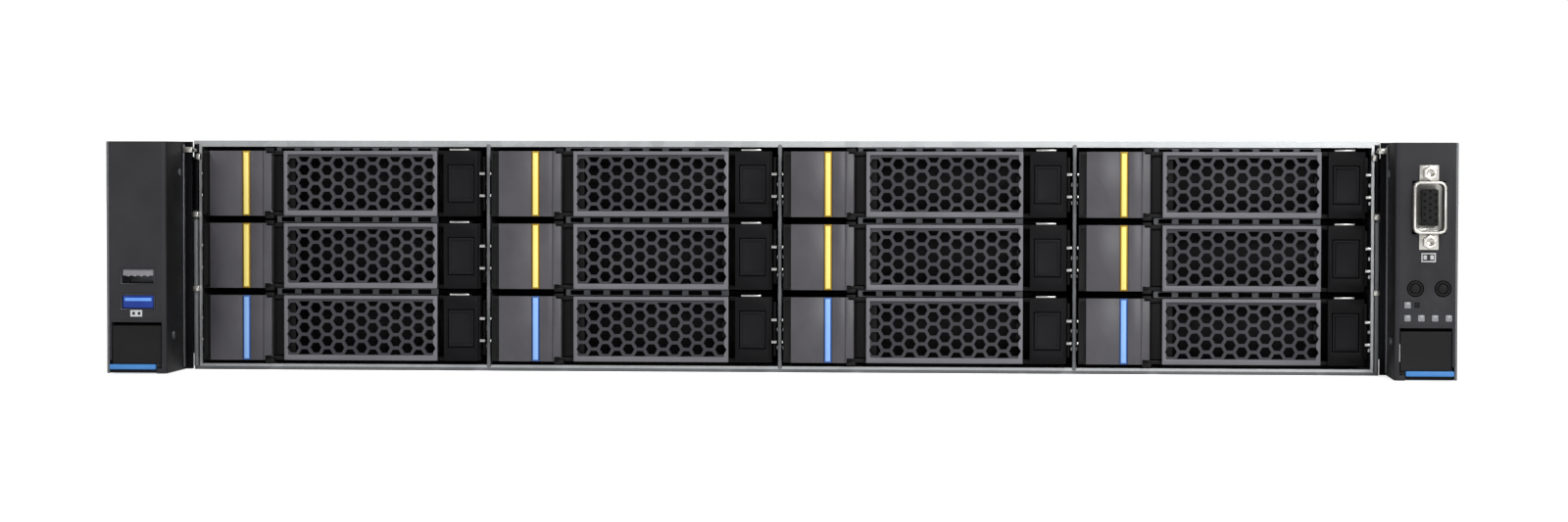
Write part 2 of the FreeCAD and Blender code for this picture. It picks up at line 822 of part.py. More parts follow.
REAR_PORTS = (
    # name, middle along X, width, height of each connector on the mainboard's rear edge
    ("Vga", "psu_left - 184.4", 31.0, 12.4),
    ("Serial", "psu_left - 144.4", 31.0, 12.4),
    ("UsbPair", "psu_left - 107.4", 29.0, 7.2),
    ("Lan", "psu_left - 75.4", 16.0, 13.6),
    ("LanTwo", "psu_left - 53.4", 16.0, 13.6),
    ("ManageLan", "psu_left - 29.4", 16.0, 13.6),
)
RISER_X = ("riser_left", "riser_next")
STANDOFFS = (
    # place along X, place along Y from the board's front edge
    ("5 - board_left", "8"),
    ("board_right - 5", "8"),
    ("5 - board_left", "300"),
    ("board_right - 5", "300"),
    ("socket_x", "150"),
)


def build_chassis():
    """The folded base with the rear panel and the studs that hang on the slide rails."""
    body = new_body("Base")
    half = "chassis_wide / 2"
    front = "face_y + cage_set_back"
    pad(body, "FoldedSheet", "y", front, "rear_y",
        [(f"-{half}", "0"), (half, "0"), (half, "roof_z"), ("wall_in", "roof_z"),
         ("wall_in", "sheet"), ("-wall_in", "sheet"), ("-wall_in", "roof_z"), (f"-{half}", "roof_z")])
    pad(body, "RearPanel", "y", "rear_y - sheet", "rear_y",
        rectangle("-wall_in - sheet / 2", "wall_in + sheet / 2", "sheet / 2", "roof_z"))
    windows = [rectangle("psu_left - slide_gap", "psu_left + psu_wide + slide_gap", "psu_low - slide_gap",
                         "psu_low + psu_pitch + psu_tall + slide_gap")]
    for left in RISER_X:
        windows.append(rectangle(f"{left} + riser_margin", f"{left} + riser_wide - riser_margin",
                                 "riser_low + riser_margin / 2", "riser_top - riser_margin"))
    for name, middle, wide, tall in REAR_PORTS:
        windows.append(rectangle(f"{middle} - {wide} / 2 - slide_gap", f"{middle} + {wide} / 2 + slide_gap",
                                 "board_top - slide_gap", f"board_top + {tall} + slide_gap"))
    pocket(body, "RearWindows", "y", "rear_y - sheet - 1", "rear_y + 1", *windows)
    slot = pocket(body, "RearVent", "y", "rear_y - sheet - 1", "rear_y + 1",
                  rectangle("vent_left", "vent_left + vent_wide",
                            "riser_low + vent_margin", "riser_top - vent_margin"))
    spread(body, "RearVents", slot, "x", "vent_pitch", "vent_count")
    for number, (across, along) in enumerate(STANDOFFS, start=1):
        pad(body, f"Standoff{number}", "z", "sheet", "board_low",
            many_sided(across, f"board_y + {along}", "standoff_flats", 6))
    for side in ("-", "+"):
        name = "Left" if side == "-" else "Right"
        neck = (f"-{half} - stud_out + 1.6", f"-{half}") if side == "-" else (half, f"{half} + stud_out - 1.6")
        head = (f"-{half} - stud_out", f"-{half} - stud_out + 1.6")
        if side == "+":
            head = (f"{half} + stud_out - 1.6", f"{half} + stud_out")
        for part, levels, diameter in (("Neck", neck, "stud_neck"), ("Head", head, "stud_head")):
            stud = pad(body, name + "Stud" + part, "x", *levels,
                       ring("face_y + stud_first", "stud_rise", diameter))
            spread(body, name + "Stud" + part + "s", stud, "y", "stud_pitch", 3)
    return keep(body, "chassis_base")


build_chassis()

# ---------------------------------------------------------------- top cover


def build_rear_cover():
    """The lift-off cover: sheet with side lips and a sunk pan for its latch."""
    body = new_body("Cover")
    rear = "rear_y"
    pad(body, "Sheet", "z", "roof_z", "chassis_tall",
        rectangle("-chassis_wide / 2", "chassis_wide / 2", "cover_y", rear))
    lip_outer = "wall_in - slide_gap"
    for side in ("-", "+"):
        name = "Left" if side == "-" else "Right"
        across = (f"-({lip_outer})", f"-({lip_outer}) + lip_sheet")
        if side == "+":
            across = (f"{lip_outer} - lip_sheet", lip_outer)
        pad(body, name + "Lip", "z", "roof_z - lip_down", "roof_z",
            rectangle(*across, "cover_y + lip_set", "psu_y - lip_set"))
    pad(body, "PanWalls", "z", "pan_floor - sheet", "chassis_tall",
        rectangle("-pan_wide / 2", "pan_wide / 2", "pan_y", "pan_y + pan_long"))
    pocket(body, "Pan", "z", "pan_floor", "chassis_tall + 1",
           rectangle("-pan_wide / 2 + sheet", "pan_wide / 2 - sheet",
                     "pan_y + sheet", "pan_y + pan_long - sheet"))
    return keep(body, "rear_cover")


def build_cover_latch():
    """A flip-up handle with a finger window, on a pin across the pan."""
    body = new_body("LatchHandle")
    half = "pan_wide / 2 - sheet - grip_gap"
    rear = "pan_y + pan_long - sheet - grip_end_gap"
    low = "grip_z - grip_thick / 2"
    high = f"{low} + grip_end_tall"
    slope = f"{rear} - grip_end_long"
    pad(body, "Bar", "x", f"-({half})", half,
        [("grip_y", low), (rear, low), (rear, high), (slope, high),
         (f"{slope} - grip_slope", "grip_z + grip_thick / 4"), ("grip_y", "grip_z + grip_thick / 2")])
    pad(body, "Barrel", "x", f"-({half})", half, many_sided("grip_y", "grip_z", "grip_barrel", 12))
    pocket(body, "FingerWindow", "z", "grip_z - grip_end_tall", "grip_z + grip_end_tall",
           rectangle(f"-({half}) + grip_frame", f"{half} - grip_frame",
                     "grip_y + grip_window_from", f"{rear} - grip_window_to"))
    pocket(body, "PinHole", "x", f"-({half}) - 1", f"{half} + 1",
           many_sided("grip_y", "grip_z", "grip_pin + 2 * pin_fit", 8))
    pin = rod("CoverLatchPin", "x", ("grip_y", "grip_z"), "grip_pin", "-pan_wide / 2 + sheet + pin_fit",
              "pan_wide / 2 - sheet - pin_fit")
    return keep(gather("cover_latch", [body, pin]))


build_rear_cover()
build_cover_latch()

# ---------------------------------------------------------------- ears


def sided(side, near, far):
    """Two X places in rising order, on the left (-) or right (+) of the server."""
    if side == "-":
        return f"-({far})", f"-({near})"
    return near, far


def build_ear(side, label, ports):
    """The ear: steel flange and bracket, moulded housing and what its face carries."""
    bracket = new_body("Bracket")
    inner = "chassis_wide / 2"
    pad(bracket, "Flange", "y", "face_y", "face_y + flange_thick",
        rectangle(*sided(side, inner, "ear_outer"), "ear_clear", "ear_top"))
    pad(bracket, "SidePlate", "y", "face_y + flange_thick", "face_y + bracket_long",
        rectangle(*sided(side, inner, f"{inner} + flange_thick"), "bracket_margin",
                  "chassis_tall - bracket_margin"))
    middle = f"{side}flange_hole_span / 2"
    holes = []
    for step in ("-", "+"):
        holes.append(ring(middle, f"chassis_tall / 2 {step} flange_hole_rise / 2", "flange_hole"))
    hook = rectangle(*sided(side, "ear_inner + hook_in - 2 * slide_gap",
                            "ear_inner + hook_in + hook_wide + 2 * slide_gap"),
                     "latch_low + ear_wall", "latch_high - 2 * slide_gap")
    pocket(bracket, "RackHoles", "y", "face_y - 1", "face_y + flange_thick + 1", *holes, hook)
    housing = new_body("Housing")
    pad(housing, "Shell", "z", "ear_clear", "ear_top",
        rectangle(*sided(side, "ear_inner", "ear_outer"), "ear_front", "face_y"))
    soften(housing, "FrontCorners", "ear_corner",
           lambda edge: is_upright(edge) and edge.BoundBox.YMax < value("ear_front") + 1)
    pocket(housing, "Inside", "y", "ear_front + ear_wall", "face_y",
           rectangle(*sided(side, "ear_inner + ear_wall", "ear_outer - ear_wall"),
                     "latch_high + ear_wall + slide_gap", "ear_top - ear_wall"))
    pocket(housing, "LatchRoom", "y", "ear_front", "face_y",
           rectangle(*sided(side, "ear_inner + ear_wall", "ear_outer - ear_wall"),
                     "ear_clear + ear_wall", "latch_high + slide_gap"))
    pocket(housing, "LipNotch", "y", "ear_front", "ear_front + latch_thick + 1",
           rectangle(*sided(side, "ear_inner + hook_in - slide_gap", "ear_outer + 1"),
                     "ear_clear - 1", "latch_low + lip_tall"))
    pieces = [bracket, housing]
    for number, (kind, across, up, wide, tall, deep) in enumerate(ports, start=1):
        middle = f"{side}(ear_inner + {across})"
        if kind == "round":
            outline = ring(middle, up, f"{wide} + 2 * slide_gap")
        else:
            outline = centred(middle, up, f"{wide} + 0.1", f"{tall} + 0.1")
        pocket(housing, f"FaceHole{number}", "y", "ear_front", "ear_front + ear_wall", outline)
        if kind == "usb":
            pieces.append(build_usb(f"{label}Port{number}", middle, up, wide, tall, deep))
        if kind == "lens":
            pieces.append(block(f"{label}Lens{number}", f"{middle} - {wide} / 2", f"{middle} + {wide} / 2",
                                "ear_front", f"ear_front + {deep}", f"{up} - {tall} / 2", f"{up} + {tall} / 2"))
        if kind == "vga":
            pieces.extend(build_vga(label, middle, up, wide, tall, deep))
    return keep(gather(label, pieces))


def is_upright(edge):
    box = edge.BoundBox
    return box.ZLength > 5 and box.XLength < 0.01 and box.YLength < 0.01


def build_usb(name, middle, up, wide, tall, deep):
    """A type A socket: steel shell with its tongue."""
    body = new_body(name)
    left = f"{middle} - {wide} / 2 + usb_wall"
    right = f"{middle} + {wide} / 2 - usb_wall"
    top = f"{up} + {tall} / 2 - usb_wall"
    pad(body, "Shell", "y", "ear_front + usb_set", f"ear_front + {deep}", centred(middle, up, wide, tall))
    pocket(body, "Mouth", "y", "ear_front", f"ear_front + {deep} - ear_wall",
           rectangle(left, right, f"{up} - {tall} / 2 + usb_wall", f"{top} - tongue_thick"),
           rectangle(left, right, f"{top} - tongue_gap", top))
    return body


def build_vga(label, middle, up, wide, tall, wall):
    """An upright D shell with its pin block and two screw posts."""
    shell = new_body(label + "Video")
    left = f"{middle} - {wide} / 2"
    right = f"{middle} + {wide} / 2"
    low = f"{up} - {tall} / 2"
    high = f"{up} + {tall} / 2"
    front = "ear_front - video_reach"
    rear = "ear_front + ear_wall + video_tail"

    def eight_sided(inset):
        near = f"{left} + {inset}"
        far = f"{right} - {inset}"
        bottom = f"{low} + {inset}"
        top = f"{high} - {inset}"
        return [(f"{near} + video_bevel", bottom), (f"{far} - video_bevel", bottom), (far, f"{bottom} + video_bevel"),
                (far, f"{top} - video_bevel"), (f"{far} - video_bevel", top), (f"{near} + video_bevel", top),
                (near, f"{top} - video_bevel"), (near, f"{bottom} + video_bevel")]

    pad(shell, "Shell", "y", front, rear, eight_sided("usb_set"))
    pocket(shell, "Mouth", "y", front, "ear_front - ear_wall / 2", eight_sided(f"usb_set + {wall}"))
    posts = []
    for step in ("-", "+"):
        post = new_body(label + ("LowPost" if step == "-" else "HighPost"))
        pad(post, "Hex", "y", "ear_front - post_reach", "ear_front",
            many_sided(middle, f"{up} {step} post_step", "post_flats", 6))
        posts.append(post)
    return [shell, *posts]


def build_ear_latch(side, label):
    """The dark latch panel with its coloured finger lip and the hook that holds the rack."""
    body = new_body("LatchPanel")
    across = sided(side, "ear_inner + ear_wall + slide_gap", "ear_outer - ear_wall - slide_gap")
    low = "latch_low + slide_gap"
    axis_z = "latch_high - latch_drop"
    back = "ear_front + latch_thick"
    top = "latch_high - 3 * slide_gap"
    pad(body, "Panel", "x", *across,
        [("ear_front + seat_gap", low), (back, low), (back, f"{axis_z} - latch_pin"),
         ("latch_axis_y", f"{axis_z} - latch_pin"), ("latch_axis_y", top), ("ear_front + seat_gap", top)])
    pad(body, "Barrel", "x", *across, many_sided("latch_axis_y", axis_z, "latch_barrel", 12))
    tooth = "face_y + flange_thick + tooth_deep"
    pad(body, "Hook", "x", *sided(side, "ear_inner + hook_in", "ear_inner + hook_in + hook_wide"),
        [("latch_axis_y", f"{axis_z} - 2 * latch_pin"), (f"{tooth} + tooth_deep", f"{axis_z} - 2 * latch_pin"),
         (f"{tooth} + tooth_deep", f"{axis_z} + latch_pin / 4"), (tooth, f"{axis_z} + latch_pin / 4"),
         (tooth, f"{axis_z} - latch_pin"), ("latch_axis_y", f"{axis_z} - latch_pin")])
    pocket(body, "PinHole", "x", f"{across[0]} - 1", f"{across[1]} + 1", many_sided("latch_axis_y", axis_z, "latch_pin + pin_fit * 2", 8))
    pin = rod(label + "Pin", "x", ("latch_axis_y", axis_z), "latch_pin",
              f"{across[0]} - seat_gap", f"{across[1]} + seat_gap")
    lip = block(label + "Lip", *sided(side, "ear_inner + hook_in", "ear_outer - lip_margin"),
                "ear_front - lip_out", back, f"{low} - lip_tall", low)
    return keep(gather(label, [body, lip, pin]))


LEFT_PORTS = (
    # kind, distance out from the ear's inner face, height, width, tall, deep
    ("usb", "usb_across", "usb_up + usb_pitch", "usb_wide", "usb_tall", "usb_deep"),
    ("usb", "usb_across", "usb_up", "usb_wide", "usb_tall", "usb_deep"),
)
RIGHT_PORTS = (
    ("vga", "video_across", "video_up", "video_wide", "video_tall", "video_wall"),
    ("round", "power_across", "ear_button_up", "ear_button", "ear_button", "0"),
    ("round", "id_across", "ear_button_up", "ear_button", "ear_button", "0"),
    ("lens", "lens_across", "lens_up + lens_rise", "lens_wide", "lens_wide", "lens_deep"),
    ("lens", "lens_across", "lens_up", "lens_wide", "lens_wide", "lens_deep"),
    ("lens", "lens_across + lens_pitch", "lens_up", "lens_wide", "lens_wide", "lens_deep"),
    ("lens", "lens_across + 2 * lens_pitch", "lens_up", "lens_wide", "lens_wide", "lens_deep"),
    ("lens", "lens_across + 3 * lens_pitch", "lens_up", "lens_wide", "lens_wide", "lens_deep"),
)


def build_ear_button(label, across):
    """A round push button with a collar behind the ear's face."""
    middle = (f"ear_inner + {across}", "ear_button_up")
    cap = rod(label + "Cap", "y", middle, "ear_button", "ear_front - seat_gap",
              "ear_front + ear_button_long")
    return keep(cap, label)


build_ear("-", "left_ear", LEFT_PORTS)
build_ear("+", "right_ear", RIGHT_PORTS)
build_ear_latch("-", "left_ear_latch")
build_ear_latch("+", "right_ear_latch")
build_ear_button("power_button", "power_across")
build_ear_button("id_button", "id_across")

# ---------------------------------------------------------------- backplane


def build_backplane():
    """The drive backplane: board with air slots and one socket for each drive."""
    body = new_body("BackplaneBoard")
    front = "face_y + cage_deep + slide_gap"
    rear = f"{front} + backplane_thick"
    pad(body, "Board", "y", front, rear,
        rectangle("-cage_half", "cage_half", "sheet + 1", "roof_z - 1"))
    slots = []
    for row in range(3):
        bottom = f"row_first + {row} * row_pitch"
        slots.append(rectangle("-2 * bay_pitch + 12", "-2 * bay_pitch + 94", f"{bottom} + 11", f"{bottom} + 22"))
    window = pocket(body, "AirSlots", "y", front, rear, *slots)
    spread(body, "AirSlotSets", window, "x", "bay_pitch", 4)
    sockets = []
    for row in range(3):
        bottom = f"row_first + {row} * row_pitch"
        sockets.append(rectangle("-2 * bay_pitch + bay_mid - 37", "-2 * bay_pitch + bay_mid + 7",
                                 f"{bottom} + 1.2", f"{bottom} + 6.5"))
    socket_front = "face_y + drive_at + drive_long - 5"
    socket = pad(body, "Sockets", "y", socket_front, front, *sockets)
    spread(body, "SocketSets", socket, "x", "bay_pitch", 4)
    return keep(body, "backplane")


build_backplane()

# ---------------------------------------------------------------- fans


def build_fan_frame():
    """One fan housing: square frame, round duct, and a motor mount on four struts."""
    body = new_body("FanFrame")
    half = "fan_size / 2"
    pad(body, "Square", "y", "0", "fan_deep",
        rectangle(f"-{half}", half, f"-{half}", half), ring("0", "0", "fan_bore"))
    strut_from = "fan_deep - 4"
    pad(body, "Struts", "y", strut_from, "fan_deep",
        rectangle("-2.5", "2.5", "-fan_bore / 2 - 0.5", "fan_bore / 2 + 0.5"))
    pad(body, "CrossStruts", "y", strut_from, "fan_deep",
        rectangle("-fan_bore / 2 - 0.5", "fan_bore / 2 + 0.5", "-2.5", "2.5"))
    pad(body, "MotorMount", "y", strut_from, "fan_deep", many_sided("0", "0", "fan_hub", 12))
    pocket(body, "ShaftBore", "y", "0", "fan_deep + 1", many_sided("0", "0", "fan_shaft + 0.8", 8))
    return body


def build_fan_rotor():
    """A hub with seven twisted blades on a steel shaft."""
    body = new_body("FanRotor")
    front = "2"
    rear = "fan_deep - 6"
    pad(body, "Hub", "y", front, rear, ring("0", "0", "fan_hub"))
    tip_level = "sqrt((fan_bore / 2 - fan_tip_gap)^2 - (blade_chord / 2)^2)"
    blade = pad(body, "Blade", "x", "fan_hub / 2 - blade_thick", tip_level, blade_section())
    wheel = body.newObject("PartDesign::PolarPattern", "Blades")
    wheel.Originals = [blade]
    wheel.Axis = (origin_item(body, "Y_Axis"), [""])
    wheel.Angle = 360
    wheel.Occurrences = 7
    body.Tip = wheel
    pad(body, "Shaft", "y", rear, "fan_deep - 0.5", ring("0", "0", "fan_shaft"))
    return body


def blade_section():
    """A thin cambered section across a blade, set at its pitch to the axis."""
    middle = "(fan_deep - 4) / 2"
    corners = []
    for along, rise, skin in ((-1, 0, -1), (0, 1, -1), (1, 0, -1), (1, 0, 1), (0, 1, 1), (-1, 0, 1)):
        run = f"({along}) * blade_chord / 2"
        side = f"(({rise}) * blade_camber + ({skin}) * blade_thick / 2)"
        corners.append((f"{middle} + {run} * cos(blade_pitch * 1deg) - {side} * sin(blade_pitch * 1deg)",
                        f"{run} * sin(blade_pitch * 1deg) + {side} * cos(blade_pitch * 1deg)"))
    return corners


def fan_x(number):
    return f"({number} - 1.5) * fan_pitch"


def build_fans():
    """Four fans in a row, with the steel bracket that they stand in."""
    frame = build_fan_frame()
    rotor = build_fan_rotor()
    document.recompute()
    frames = []
    for number in range(4):
        place = (fan_x(number), "fan_y", "fan_mid_z")
        frames.append(copy_of(f"Fan{number + 1}", frame, *place))
        keep(copy_of(f"fan_rotor_{number + 1}", rotor, *place))
    front = "fan_y - fan_wall"
    rear = "fan_y + fan_deep + fan_wall"
    floor = block("BracketFloor", "-wall_in + fan_wall / 2", "wall_in - fan_wall / 2", front, rear,
                  "sheet", "sheet + fan_floor")
    walls = []
    for number in range(5):
        middle = f"({number} - 2) * fan_pitch"
        walls.append(block(f"BracketWall{number}", f"{middle} - fan_wall / 2", f"{middle} + fan_wall / 2",
                           front, rear, "sheet + fan_floor / 2", "roof_z - fan_floor"))
    bracket = fused("FanBracket", floor, *walls)
    keep(gather("fan_frames", [*frames, bracket]))


build_fans()

# ---------------------------------------------------------------- mainboard


def build_mainboard():
    """The mainboard: two sockets and the memory slots are soldered to it."""
    board = new_body("Board")
    pad(board, "Panel", "z", "board_low", "board_top",
        rectangle("-board_left", "board_right", "board_y", "board_rear"))
    modules = []
    for side in ("-", "+"):
        name = "Left" if side == "-" else "Right"
        middle = f"socket_x {side} socket_pitch / 2"
        pad(board, name + "Socket", "z", "board_top", "board_top + socket_tall",
            centred(middle, "socket_y", "socket_wide", "socket_long"))
        for bank, step in (("Near", "-"), ("Far", "+")):
            first = f"{middle} {step} slot_first"
            if step == "-":
                first = f"{first} - 4 * dimm_pitch"
            slot = pad(board, f"{name}{bank}Slot", "z", "board_top", "board_top + slot_tall",
                       centred(first, "socket_y", "slot_wide", "slot_long"))
            spread(board, f"{name}{bank}Slots", slot, "x", "dimm_pitch", 5)
            for place in (0, 2, 4):
                across = f"{first} + {place} * dimm_pitch"
                modules.append(block(f"{name}{bank}Module{place}", f"{across} - dimm_thick / 2",
                                     f"{across} + dimm_thick / 2", "socket_y - dimm_long / 2",
                                     "socket_y + dimm_long / 2", "board_top + slot_tall",
                                     "board_top + dimm_tall"))
    ports = [build_rear_port(name, middle, wide, tall) for name, middle, wide, tall in REAR_PORTS]
    return keep(gather("mainboard", [board, *modules, *ports]))


def build_rear_port(name, middle, wide, tall):
    """One connector block on the board's rear edge, flush with the rear panel."""
    body = new_body(name + "Port")
    pad(body, "Block", "y", "rear_y - port_deep", "rear_y",
        rectangle(f"{middle} - {wide} / 2", f"{middle} + {wide} / 2", "board_top", f"board_top + {tall}"))
    if "Lan" in name:
        pocket(body, "Jack", "y", "rear_y - port_deep + port_back", "rear_y + 1",
               rectangle(f"{middle} - jack_wide / 2", f"{middle} + jack_wide / 2",
                         "board_top + jack_low", "board_top + jack_low + jack_tall"))
    elif name == "UsbPair":
        for side in ("-", "+"):
            pocket(body, "Mouth", "y", "rear_y - port_deep + port_back", "rear_y + 1",
                   centred(f"{middle} {side} {wide} / 4", f"board_top + {tall} / 3",
                           "usb_wide - 2 * usb_wall", "usb_tall / 2"))
    else:
        pocket(body, "ShellRecess", "y", "rear_y - recess_deep", "rear_y + 1",
               centred(middle, f"board_top + {tall} / 2", f"{wide} - 2 * post_step / 2 - recess_deep",
                       f"{tall} - 2 * jack_low"))
    return body


def build_heatsinks():
    """Two processor heatsinks: base plate with upright fins."""
    pieces = []
    for name, sign in (("LeftSink", "-"), ("RightSink", "+")):
        body = new_body(name)
        middle = f"socket_x {sign} socket_pitch / 2"
        low = "board_top + 6"
        left = f"{middle} - sink_wide / 2"
        front = "socket_y - sink_long / 2"
        pad(body, "BasePlate", "z", low, f"{low} + sink_base",
            rectangle(left, f"{middle} + sink_wide / 2", front, "socket_y + sink_long / 2"))
        fin = pad(body, "Fin", "z", f"{low} + sink_base", f"{low} + sink_tall",
                  rectangle(f"{left} + 0.5", f"{left} + 0.5 + fin_thick", front, "socket_y + sink_long / 2"))
        spread(body, "Fins", fin, "x", "fin_pitch", 13)
        pieces.append(body)
    return keep(gather("heatsinks", pieces))


def build_air_duct():
    """The plastic hood that leads the fans' air over the processors and the memory."""
    body = new_body("Hood")
    left = "-board_left + 0.5"
    right = "board_right - 0.5"
    front = "board_y + 1"
    rear = "board_y + duct_long"
    low = "board_top + slide_gap"
    pad(body, "Outer", "x", left, right,
        [(front, low), (rear, low), (rear, "duct_top - 8"), (f"{rear} - 22", "duct_top"),
         (f"{front} + 14", "duct_top"), (front, "duct_top - 6")])
    pocket(body, "Inner", "x", f"{left} + duct_wall", f"{right} - duct_wall",
           [(f"{front} - 1", "0"), (f"{rear} + 1", "0"), (f"{rear} + 1", "duct_top - 8 - duct_wall"),
            (f"{rear} - 22", "duct_top - duct_wall"), (f"{front} + 14", "duct_top - duct_wall"),
            (f"{front} - 1", "duct_top - 7.6 - duct_wall")])
    return keep(body, "air_duct")


def build_risers():
    """Two riser cages, each with its card connector board and three slot covers."""
    pieces = []
    for number, left in enumerate(RISER_X, start=1):
        body = new_body(f"Riser{number}")
        rear = "rear_y - sheet - seat_gap"
        front = f"{rear} - riser_long"
        pad(body, "TopAndSides", "y", front, rear,
            [(left, "riser_low"), (f"{left} + sheet", "riser_low"), (f"{left} + sheet", "riser_top - sheet"),
             (f"{left} + riser_wide - sheet", "riser_top - sheet"), (f"{left} + riser_wide - sheet", "riser_low"),
             (f"{left} + riser_wide", "riser_low"), (f"{left} + riser_wide", "riser_top"), (left, "riser_top")])
        pad(body, "BracketWall", "y", f"{rear} - sheet", rear,
            rectangle(f"{left} + sheet / 2", f"{left} + riser_wide - sheet / 2", "riser_low", "riser_top"))
        card_left = f"{left} + card_slot_left"
        card_right = f"{left} + riser_wide - card_slot_right"
        lows = [f"riser_low + card_slot_low + {slot} * slot_pitch" for slot in range(3)]
        slots = [rectangle(card_left, card_right, low, f"{low} + card_slot_tall") for low in lows]
        pocket(body, "CardWindows", "y", f"{rear} - sheet - 1", f"{rear} + 1", *slots)
        pieces.append(body)
        pieces.append(block(f"RiserBoard{number}", f"{left} + riser_board_at",
                            f"{left} + riser_board_at + board_thick", f"{front} + riser_board_start",
                            f"{rear} - riser_board_end", "board_top + seat_gap", "riser_top - 2 * sheet"))
        for slot, low in enumerate(lows):
            pieces.append(block(f"SlotCover{number}{slot}", f"{card_left} - slot_cover_lap",
                                f"{card_right} + slot_cover_lap", f"{rear} - sheet - slot_cover_thick",
                                f"{rear} - sheet", f"{low} - slot_cover_lap",
                                f"{low} + card_slot_tall + slot_cover_lap"))
    return keep(gather("riser_cages", pieces))


build_mainboard()
build_heatsinks()
build_air_duct()
build_risers()

# ---------------------------------------------------------------- power supplies
# Built in its own frame: X from its left wall, Y from its front end, Z from its floor.


def build_psu():
    """A hot swap supply: steel case, fan grille, power inlet and a bail handle."""
    body = new_body("PsuCase")
    blower = ("blower_across", "psu_tall / 2")
    grille_levels = ("psu_long - grille_set - cage_sheet", "psu_long - grille_set")
    pad(body, "Case", "y", "0", "psu_long", rectangle("0", "psu_wide", "0", "psu_tall"))
    pocket(body, "InletMouth", "y", "psu_long - inlet_deep", "psu_long + 1",
           rectangle("inlet_left", "inlet_left + inlet_wide", "inlet_low", "inlet_low + inlet_tall"))
    pocket(body, "FanMouth", "y", "psu_long - blower_deep", "psu_long + 1", ring(*blower, "blower_wide"))
    handle = new_body("PsuHandle")
    tip = "psu_long + handle_reach"
    left = "bail_left + handle_bar"
    right = "bail_right - handle_bar"
    pad(handle, "Bail", "z", "psu_tall / 2 - handle_bar / 2", "psu_tall / 2 + handle_bar / 2",
        [("bail_left", "psu_long"), (left, "psu_long"), (left, f"{tip} - handle_bar"),
         (right, f"{tip} - handle_bar"), (right, "psu_long"), ("bail_right", "psu_long"),
         ("bail_right", tip), ("bail_left", tip)])
    pins = []
    for number, (share, up) in enumerate(((0.2, 0.36), (0.5, 0.64), (0.8, 0.36)), start=1):
        across = f"inlet_left + {share} * inlet_wide"
        rise = f"inlet_low + {up} * inlet_tall"
        pins.append(block(f"InletPin{number}", f"{across} - inlet_pin / 2", f"{across} + inlet_pin / 2",
                          "psu_long - inlet_deep", "psu_long - inlet_deep / 3",
                          f"{rise} - inlet_pin", f"{rise} + inlet_pin"))
    grille = new_body("PsuGrille")
    span = "blower_wide - seat_gap"
    pad(grille, "Spokes", "y", *grille_levels, centred(*blower, "spoke_wide", span))
    pad(grille, "CrossSpoke", "y", *grille_levels, centred(*blower, span, "spoke_wide"))
    pad(grille, "MidRing", "y", *grille_levels, many_sided(*blower, "blower_ring + spoke_wide", 12),
        many_sided(*blower, "blower_ring - spoke_wide", 12))
    return gather("psu_1", [body, handle, grille, *pins])


def build_psu_latch():
    """The sprung side latch that keeps a supply in its bay."""
    body = new_body("PsuLatch")
    start = "psu_long + 2 * slide_gap"
    pad(body, "Tab", "z", "squeeze_low", "psu_tall - squeeze_low",
        [("1", start), ("4", start), ("4", "psu_long + 12"), ("7", "psu_long + 20"),
         ("5", "psu_long + 21"), ("1.6", "psu_long + 13")])
    pad(body, "Barrel", "z", "squeeze_low - 1", "psu_tall - squeeze_low + 1",
        ring("squeeze_across", "psu_long + squeeze_behind", "squeeze_barrel"))
    return body


def build_psus():
    supply = build_psu()
    latch = build_psu_latch()
    document.recompute()
    for number in (1, 2):
        place = ("psu_left", "psu_y", f"psu_low + {number - 1} * psu_pitch")
        if number == 1:
            place_at(supply, *place)
            keep(supply, "psu_1")
            place_at(latch, *place)
            keep(latch, "psu_latch_1")
        else:
            keep(copy_of("psu_2", supply, *place))
            keep(copy_of("psu_latch_2", latch, *place))


build_psus()

# ---------------------------------------------------------------- checks and files

document.recompute()

troubled = [item.Name for item in document.Objects if {"Invalid", "Error"} & set(item.State)]
if troubled:
    raise RuntimeError("failed objects: " + ", ".join(troubled))
for item in document.Objects:
    if item.TypeId == "PartDesign::Pocket" and item.BaseFeature:
        if item.Shape.Volume >= item.BaseFeature.Shape.Volume - 1e-6:
            raise RuntimeError("a pocket cuts nothing: " + item.Name + " in " + item.getParent().Name)
for node in NODES:
    if node.Shape.isNull() or not node.Shape.isValid():
        raise RuntimeError("bad shape: " + node.Label)

os.makedirs("parts", exist_ok=True)
for node in NODES:
    node.Shape.exportStep(os.path.join("parts", node.Label + ".step"))
box = Part.makeCompound([node.Shape for node in NODES]).BoundBox
print(len(NODES), "sub-parts,", round(box.XLength, 2), "x", round(box.YLength, 2), "x", round(box.ZLength, 2),
      "mm, from", round(box.XMin, 2), round(box.YMin, 2), round(box.ZMin, 2))
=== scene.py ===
# %% [markdown]
# A two-unit rack server, dressed for its portrait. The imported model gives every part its
# place and its motion. What the eye rests on, the front with its twelve drive carriers and
# two ears, is modelled again here in fine detail, and the rest keeps its shape and gets
# a finish of its own.

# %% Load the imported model
import math
import bpy
from mathutils import Matrix, Vector


